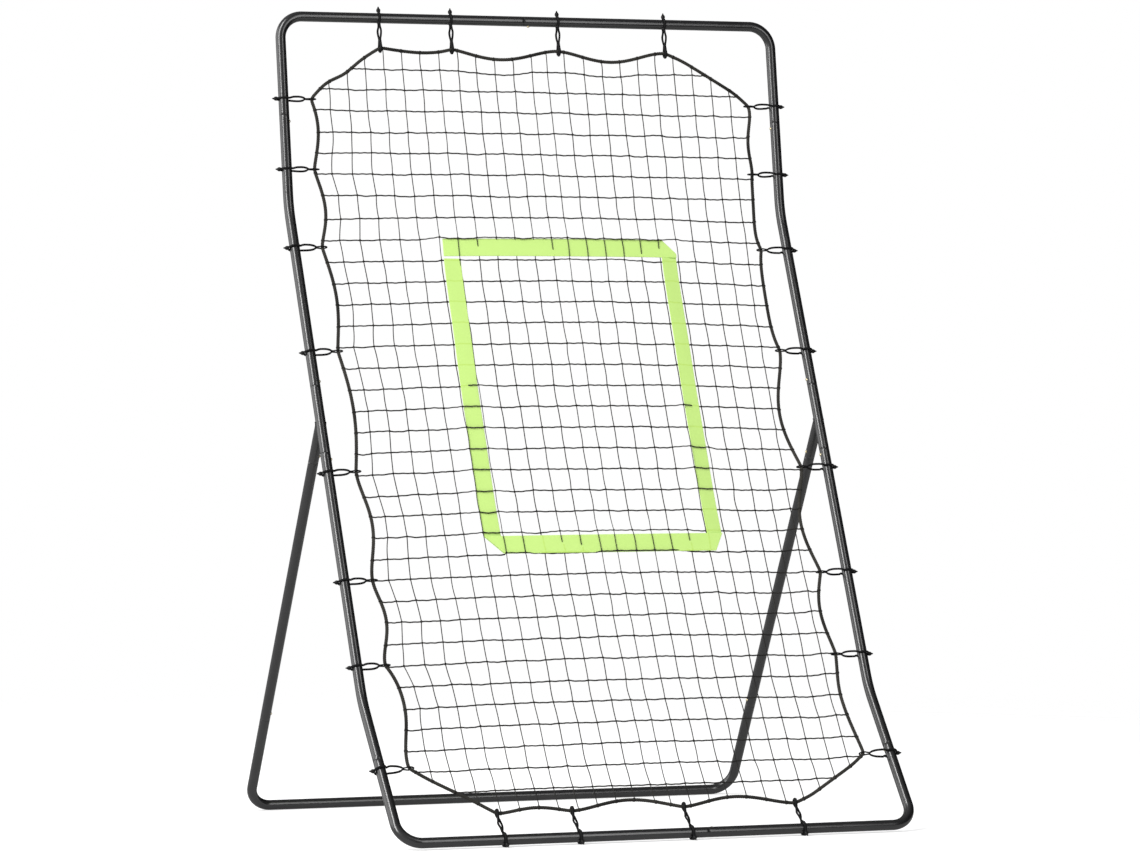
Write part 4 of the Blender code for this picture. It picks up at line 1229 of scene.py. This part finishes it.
def lashingTree():
    # two turns of twine round the rope at every point, square to the rope's own direction
    tree, given, result = nodeTree(
        "ropeLashings",
        [
            ("Turn Radius", "NodeSocketFloat", 3.6 * mm),
            ("Twine Radius", "NodeSocketFloat", 1 * mm),
            ("Yarn", "NodeSocketMaterial", None),
        ],
    )
    coil = add(
        tree,
        "GeometryNodeCurveSpiral",
        {"Resolution": 14, "Rotations": 2.0, "Height": 3.4 * mm},
        Start_Radius=given.outputs["Turn Radius"],
        End_Radius=given.outputs["Turn Radius"],
    )
    ring = add(tree, "GeometryNodeCurvePrimitiveCircle", {"Resolution": 5}, i4=given.outputs["Twine Radius"])
    turns = add(
        tree,
        "GeometryNodeCurveToMesh",
        {"Fill Caps": True},
        Curve=coil.outputs["Curve"],
        Profile_Curve=ring.outputs["Curve"],
    )
    centred = add(tree, "GeometryNodeTransform", {"Translation": (0, 0, -1.7 * mm)}, Geometry=turns.outputs["Mesh"])
    heading = add(tree, "GeometryNodeInputNamedAttribute", {"data_type": "FLOAT_VECTOR", "Name": "heading"})
    aligned = add(tree, "FunctionNodeAlignRotationToVector", {"axis": "Z"}, Vector=heading.outputs["Attribute"])
    instances = add(
        tree,
        "GeometryNodeInstanceOnPoints",
        Points=given.outputs["Geometry"],
        Instance=centred.outputs["Geometry"],
        Rotation=aligned.outputs["Rotation"],
    )
    real = add(tree, "GeometryNodeRealizeInstances", Geometry=instances.outputs["Instances"])
    smooth = add(tree, "GeometryNodeSetShadeSmooth", Geometry=real.outputs["Geometry"])
    painted = add(
        tree, "GeometryNodeSetMaterial", Geometry=smooth.outputs["Geometry"], Material=given.outputs["Yarn"]
    )
    tree.links.new(painted.outputs["Geometry"], result.inputs["Geometry"])
    return tree


def makeNet():
    points, chains, knots, places, lifts, ends = netWires()
    tree = twineTree()
    for alongColumn, name in ((True, "net_uprights"), (False, "net_rows")):
        edges = [pair for chain in chains[alongColumn] for pair in zip(chain, chain[1:])]
        base = bpy.data.meshes.new("wires")
        base.from_pydata(points.tolist(), edges, [])
        mark = base.attributes.new("knot", "BOOLEAN", "POINT")
        mark.data.foreach_set("value", knots & alongColumn)
        girth = base.attributes.new("girth", "FLOAT", "POINT")
        girth.data.foreach_set("value", 1 - net["tautness"] * np.clip(lifts / strap["lift"], 0, 1))
        values = {
            "Twine Radius": net["columnRadius"] if alongColumn else net["rowRadius"],
            "Knot Radius": net["knotRadius"],
            "Seed": net["seed"],
            "Yarn": netYarn,
        }
        mesh = grown(base, tree, values)
        piece(name, mesh, netYarn, ["net_lower", "net_middle", "net_upper"])
        print(name, "made,", len(chains[alongColumn]), "strands,", len(mesh.polygons), "faces")

    tied = points[ends]
    rope3d = onNet(*ropeLine.T)
    heading = np.roll(rope3d, -1, 0) - np.roll(rope3d, 1, 0)
    nearest = [int(np.argmin(((rope3d - p) ** 2).sum(1))) for p in tied]
    base = bpy.data.meshes.new("ties")
    base.from_pydata(rope3d[nearest].tolist(), [], [])
    mark = base.attributes.new("heading", "FLOAT_VECTOR", "POINT")
    mark.data.foreach_set("vector", heading[nearest].astype(np.float32).ravel())
    values = {"Turn Radius": rope["radius"] + 0.2 * mm, "Twine Radius": 0.6 * mm, "Yarn": netYarn}
    piece("net_lashings", grown(base, lashingTree(), values), netYarn)
    print("lashings made:", len(tied))

    # where strands lie behind the strap, for the marks that they press into it and the shade painted along them
    behind = KDTree(4 * sum(map(len, chains[True] + chains[False])))
    for chain in chains[True] + chains[False]:
        for a, b in zip(chain, chain[1:]):
            for t in np.arange(0, 1, 0.25):
                u, s = places[a] + (places[b] - places[a]) * t
                if max(lifts[a], lifts[b]) < strap["lift"]:
                    behind.insert((u, s, 0), a)
    behind.balance()
    return behind


behindStrap = makeNet()


# Strike zone strap


def bandMesh(name, corners, count, cuts):
    # a band between two end edges: corners are ((u, s) low side, (u, s) high side) at each end
    (a0, b0), (a1, b1) = (np.array(pair) for pair in corners)
    across = 25
    length = np.linalg.norm((a1 + b1) / 2 - (a0 + b0) / 2)
    along = (a1 - a0) / np.linalg.norm(a1 - a0)
    grid, uvs, pressed = [], [], []
    for i in range(count + 1):
        t = i / count
        for k in range(across):
            v = k / (across - 1)
            low, high = a0 + (a1 - a0) * t, b0 + (b1 - b0) * t
            startCut, endCut = cuts(v)
            place = low + (high - low) * v + along * (startCut * (1 - t) - endCut * t)
            place[0] += sway(place[1])
            place[1] -= strap["bows"][name] * math.sin(math.pi * t)
            wave = strap["wave"] * math.sin(9 * t + 3 * v)
            # how near a strand lies behind: it raises the webbing a little and paints shade on it
            gap = behindStrap.find((*place, 0))[2]
            pressed.append(math.exp(-((gap / strap["pressAndShadeWidth"]) ** 2)))
            grid.append((*place, bandHeight(name, v) + wave + strap["pressRelief"] * pressed[-1]))
            uvs.append((v * strap["widths"][name], t * length))
    grid = np.array(grid)
    points = onNet(*grid.T)
    faces, loopUvs = [], []
    for i in range(count):
        for k in range(across - 1):
            corner = (i * across + k, (i + 1) * across + k, (i + 1) * across + k + 1, i * across + k + 1)
            faces.append(corner)
            loopUvs += [uvs[c] for c in corner]
    mesh = bpy.data.meshes.new(name)
    mesh.from_pydata(points.tolist(), [], faces)
    layer = mesh.uv_layers.new(name="UVMap")
    layer.data.foreach_set("uv", np.array(loopUvs, np.float32).ravel())
    mark = mesh.attributes.new("pressed", "FLOAT", "POINT")
    mark.data.foreach_set("value", pressed)
    made = helper(mesh)
    thick = made.modifiers.new("sheet", "SOLIDIFY")
    thick.thickness, thick.offset = strap["sheet"], 0
    bevel = made.modifiers.new("selvedge", "BEVEL")
    bevel.width, bevel.segments, bevel.limit_method, bevel.angle_limit = 0.4 * mm, 1, "ANGLE", math.radians(60)
    mesh = applied(made)
    shape = bmesh.new()
    shape.from_mesh(mesh)
    bmesh.ops.recalc_face_normals(shape, faces=shape.faces)
    shape.to_mesh(mesh)
    shape.free()
    mesh.shade_smooth()
    mesh.set_sharp_from_angle(angle=math.radians(50))
    return mesh


def makeStrap():
    top, bottom, fold, widths = strap["top"], strap["bottom"], strap["fold"], strap["widths"]
    leftTop, leftBottom = strap["left"]
    rightTop, rightBottom = strap["right"]
    underTop, overBottom, endGap = top - widths["top"], bottom + widths["bottom"], strap["endGap"]
    leftWide, rightWide, tuck = widths["left"], widths["right"], strap["tuck"]
    steep, slantStart = strap["slant"]
    bands = {
        # each end's two corners, then how much a fold takes off each end across the width (v runs low to high)
        "top": (
            [((leftTop, underTop), (leftTop, top)), ((rightTop, underTop), (rightTop, top))],
            lambda v: (0.0, max(0.0, fold - widths["top"] * (1 - v))),
        ),
        "bottom": (
            [((leftBottom, bottom), (leftBottom, overBottom)), ((rightBottom, bottom), (rightBottom, overBottom))],
            lambda v: (widths["bottom"] * (1 - v), strap["cornerCut"] * (1 - v)),
        ),
        "left": (
            [
                ((leftBottom, bottom), (leftBottom + leftWide, bottom)),
                ((leftTop, underTop - endGap), (leftTop + leftWide, underTop - endGap)),
            ],
            lambda v: (leftWide * (1 - v) + tuck, 0.0),
        ),
        "right": (
            [
                ((rightBottom - rightWide, bottom), (rightBottom, bottom)),
                ((rightTop - rightWide, top), (rightTop, top)),
            ],
            lambda v: (
                max(0.0, steep * (rightWide * v - slantStart)) + tuck,
                max(0.0, fold - rightWide * (1 - v)) + tuck,
            ),
        ),
    }
    for name, (corners, cuts) in bands.items():
        mesh = bandMesh(name, corners, strap["steps"][name], cuts)
        piece(f"strap_{name}_band", mesh, lime, ["strike_zone_strap"])
    print("strap made")


makeStrap()


# Floor, light and camera

studio = {
    "floorLevel": 0.0,
    "floorRadius": 9.0,
    "floorFade": (1.6, 4.2),  # metres from the middle, between which the floor fades into the white
    "worldLight": 0.38,
    # how much of the white surroundings the gloss shows, away from and toward their lit side
    "worldGloss": (0.0, 0.55),
    "litSide": (75, 5),  # degrees left of the camera and above the floor
    "litSpread": (-0.6, 0.8),  # cosines from the lit side, between which the gloss changes
    "floorGlow": 0.45,
    "floorGloss": 0.45,  # how bright the floor stands in the tubes' gloss
    "target": (0, 0, 0.9),
    # degrees left of the camera and above the floor, distance, width, height and power
    "lamps": {
        "keyLeft": (42, 37, 9.0, 1.71, 8.64, 641),
        "wallLeft": (90, 16, 5.0, 5.0, 4.0, 100),
        "fillRight": (-42, 24, 5.0, 1.4, 4.0, 60),
    },
}
camera = {
    "place": (-4.3061, barY - 10.1778, barZ + 1.0617),
    "turn": (88.877, -0.017, -21.936),  # degrees
    "lens": 168.08,
    "sensor": 36.0,
}


def makeFloor():
    # white vinyl sweep: it keeps the shadow, and fades into the white behind
    shape = bmesh.new()
    bmesh.ops.create_circle(shape, cap_ends=True, segments=96, radius=studio["floorRadius"])
    mesh = bpy.data.meshes.new("floor")
    shape.to_mesh(mesh)
    shape.free()
    floor = helper(mesh)
    floor.name = "floor"
    floor.location.z = studio["floorLevel"]
    made, tree, shader = newMaterial("whiteSweep", Roughness=0.9, **{"Base Color": colour("#ededed")})
    rays = add(tree, "ShaderNodeLightPath")
    isCamera, isGlossy, isTransmission = (
        rays.outputs[f"Is {kind} Ray"] for kind in ("Camera", "Glossy", "Transmission")
    )
    seen = add(tree, "ShaderNodeMath", {"operation": "MAXIMUM"}, i0=isCamera, i1=isGlossy)
    seen = add(tree, "ShaderNodeMath", {"operation": "MAXIMUM"}, i0=seen.outputs[0], i1=isTransmission)
    glow = add(tree, "ShaderNodeMath", {"operation": "MULTIPLY"}, i0=seen.outputs[0], i1=studio["floorGlow"])
    light = add(tree, "ShaderNodeEmission", Strength=glow.outputs[0])
    both = add(tree, "ShaderNodeAddShader", i0=shader.outputs[0], i1=light.outputs[0])
    place = add(tree, "ShaderNodeTexCoord").outputs["Object"]
    centre = add(tree, "ShaderNodeVectorMath", {"operation": "LENGTH"}, i0=place)
    fade = add(
        tree,
        "ShaderNodeMapRange",
        {"interpolation_type": "SMOOTHSTEP"},
        Value=centre.outputs["Value"],
        From_Min=studio["floorFade"][0],
        From_Max=studio["floorFade"][1],
    )
    clear = add(tree, "ShaderNodeBsdfTransparent")
    dim = 1 - studio["floorGloss"]
    mirrored = add(tree, "ShaderNodeMath", {"operation": "MULTIPLY"}, i0=isGlossy, i1=dim)
    unlit = add(tree, "ShaderNodeEmission", Strength=0.0)
    both = add(tree, "ShaderNodeMixShader", Fac=mirrored.outputs[0], i1=both.outputs[0], i2=unlit.outputs[0])
    mixed = add(tree, "ShaderNodeMixShader", Fac=fade.outputs[0], i1=both.outputs[0], i2=clear.outputs[0])
    tree.links.new(mixed.outputs[0], tree.nodes["Material Output"].inputs["Surface"])
    mesh.materials.append(made)


def awayFrom(left, up):
    # unit vector toward a place in the studio, from degrees left of the camera and above the floor
    way, rise = math.radians(left - camera["turn"][2]), math.radians(up)
    return Vector((-math.sin(way) * math.cos(rise), -math.cos(way) * math.cos(rise), math.sin(rise)))


def makeWorld():
    world = bpy.data.worlds.new("studio")
    bpy.context.scene.world = world
    world.use_nodes = True
    tree = world.node_tree
    tree.nodes.clear()
    rays = add(tree, "ShaderNodeLightPath")
    heading = add(tree, "ShaderNodeTexCoord").outputs["Generated"]
    isCamera, isGlossy, isTransmission, isDiffuse = (
        rays.outputs[f"Is {kind} Ray"] for kind in ("Camera", "Glossy", "Transmission", "Diffuse")
    )
    litSide = awayFrom(*studio["litSide"])
    facing = add(tree, "ShaderNodeVectorMath", {"operation": "DOT_PRODUCT"}, i0=heading, i1=litSide)
    share = add(
        tree,
        "ShaderNodeMapRange",
        Value=facing.outputs["Value"],
        From_Min=studio["litSpread"][0],
        From_Max=studio["litSpread"][1],
        To_Min=studio["worldGloss"][0],
        To_Max=studio["worldGloss"][1],
    )
    gloss = add(tree, "ShaderNodeMath", {"operation": "MULTIPLY"}, i0=isGlossy, i1=share.outputs[0])
    seen = add(tree, "ShaderNodeMath", {"operation": "MAXIMUM"}, i0=isCamera, i1=gloss.outputs[0])
    seen = add(tree, "ShaderNodeMath", {"operation": "MAXIMUM"}, i0=seen.outputs[0], i1=isTransmission)
    soft = add(tree, "ShaderNodeMath", {"operation": "MULTIPLY"}, i0=isDiffuse, i1=studio["worldLight"])
    soft = add(tree, "ShaderNodeBackground", Strength=soft.outputs[0])
    white = add(tree, "ShaderNodeBackground", {"Strength": 1.0})
    for node in (soft, white):
        node.inputs["Color"].default_value = (1, 1, 1, 1)
    mixed = add(tree, "ShaderNodeMixShader", Fac=seen.outputs[0], i1=soft.outputs[0], i2=white.outputs[0])
    out = tree.nodes.new("ShaderNodeOutputWorld")
    tree.links.new(mixed.outputs[0], out.inputs["Surface"])


def makeLamps():
    for name, (left, up, distance, width, height, power) in studio["lamps"].items():
        data = bpy.data.lights.new(name, "AREA")
        data.shape, data.size, data.size_y, data.energy = "RECTANGLE", width, height, power
        lamp = bpy.data.objects.new(name, data)
        bpy.context.scene.collection.objects.link(lamp)
        out = awayFrom(left, up)
        lamp.location = Vector(studio["target"]) + out * distance
        lamp.rotation_euler = (-out).to_track_quat("-Z", "Y").to_euler()


def makeCamera():
    data = bpy.data.cameras.new("photographView")
    data.lens, data.sensor_width = camera["lens"], camera["sensor"]
    data.clip_end = 60
    made = bpy.data.objects.new("photographView", data)
    bpy.context.scene.collection.objects.link(made)
    made.location = camera["place"]
    made.rotation_euler = [math.radians(a) for a in camera["turn"]]
    bpy.context.scene.camera = made


makeFloor()
makeWorld()
makeLamps()
makeCamera()
bpy.context.scene.view_settings.view_transform = "Standard"
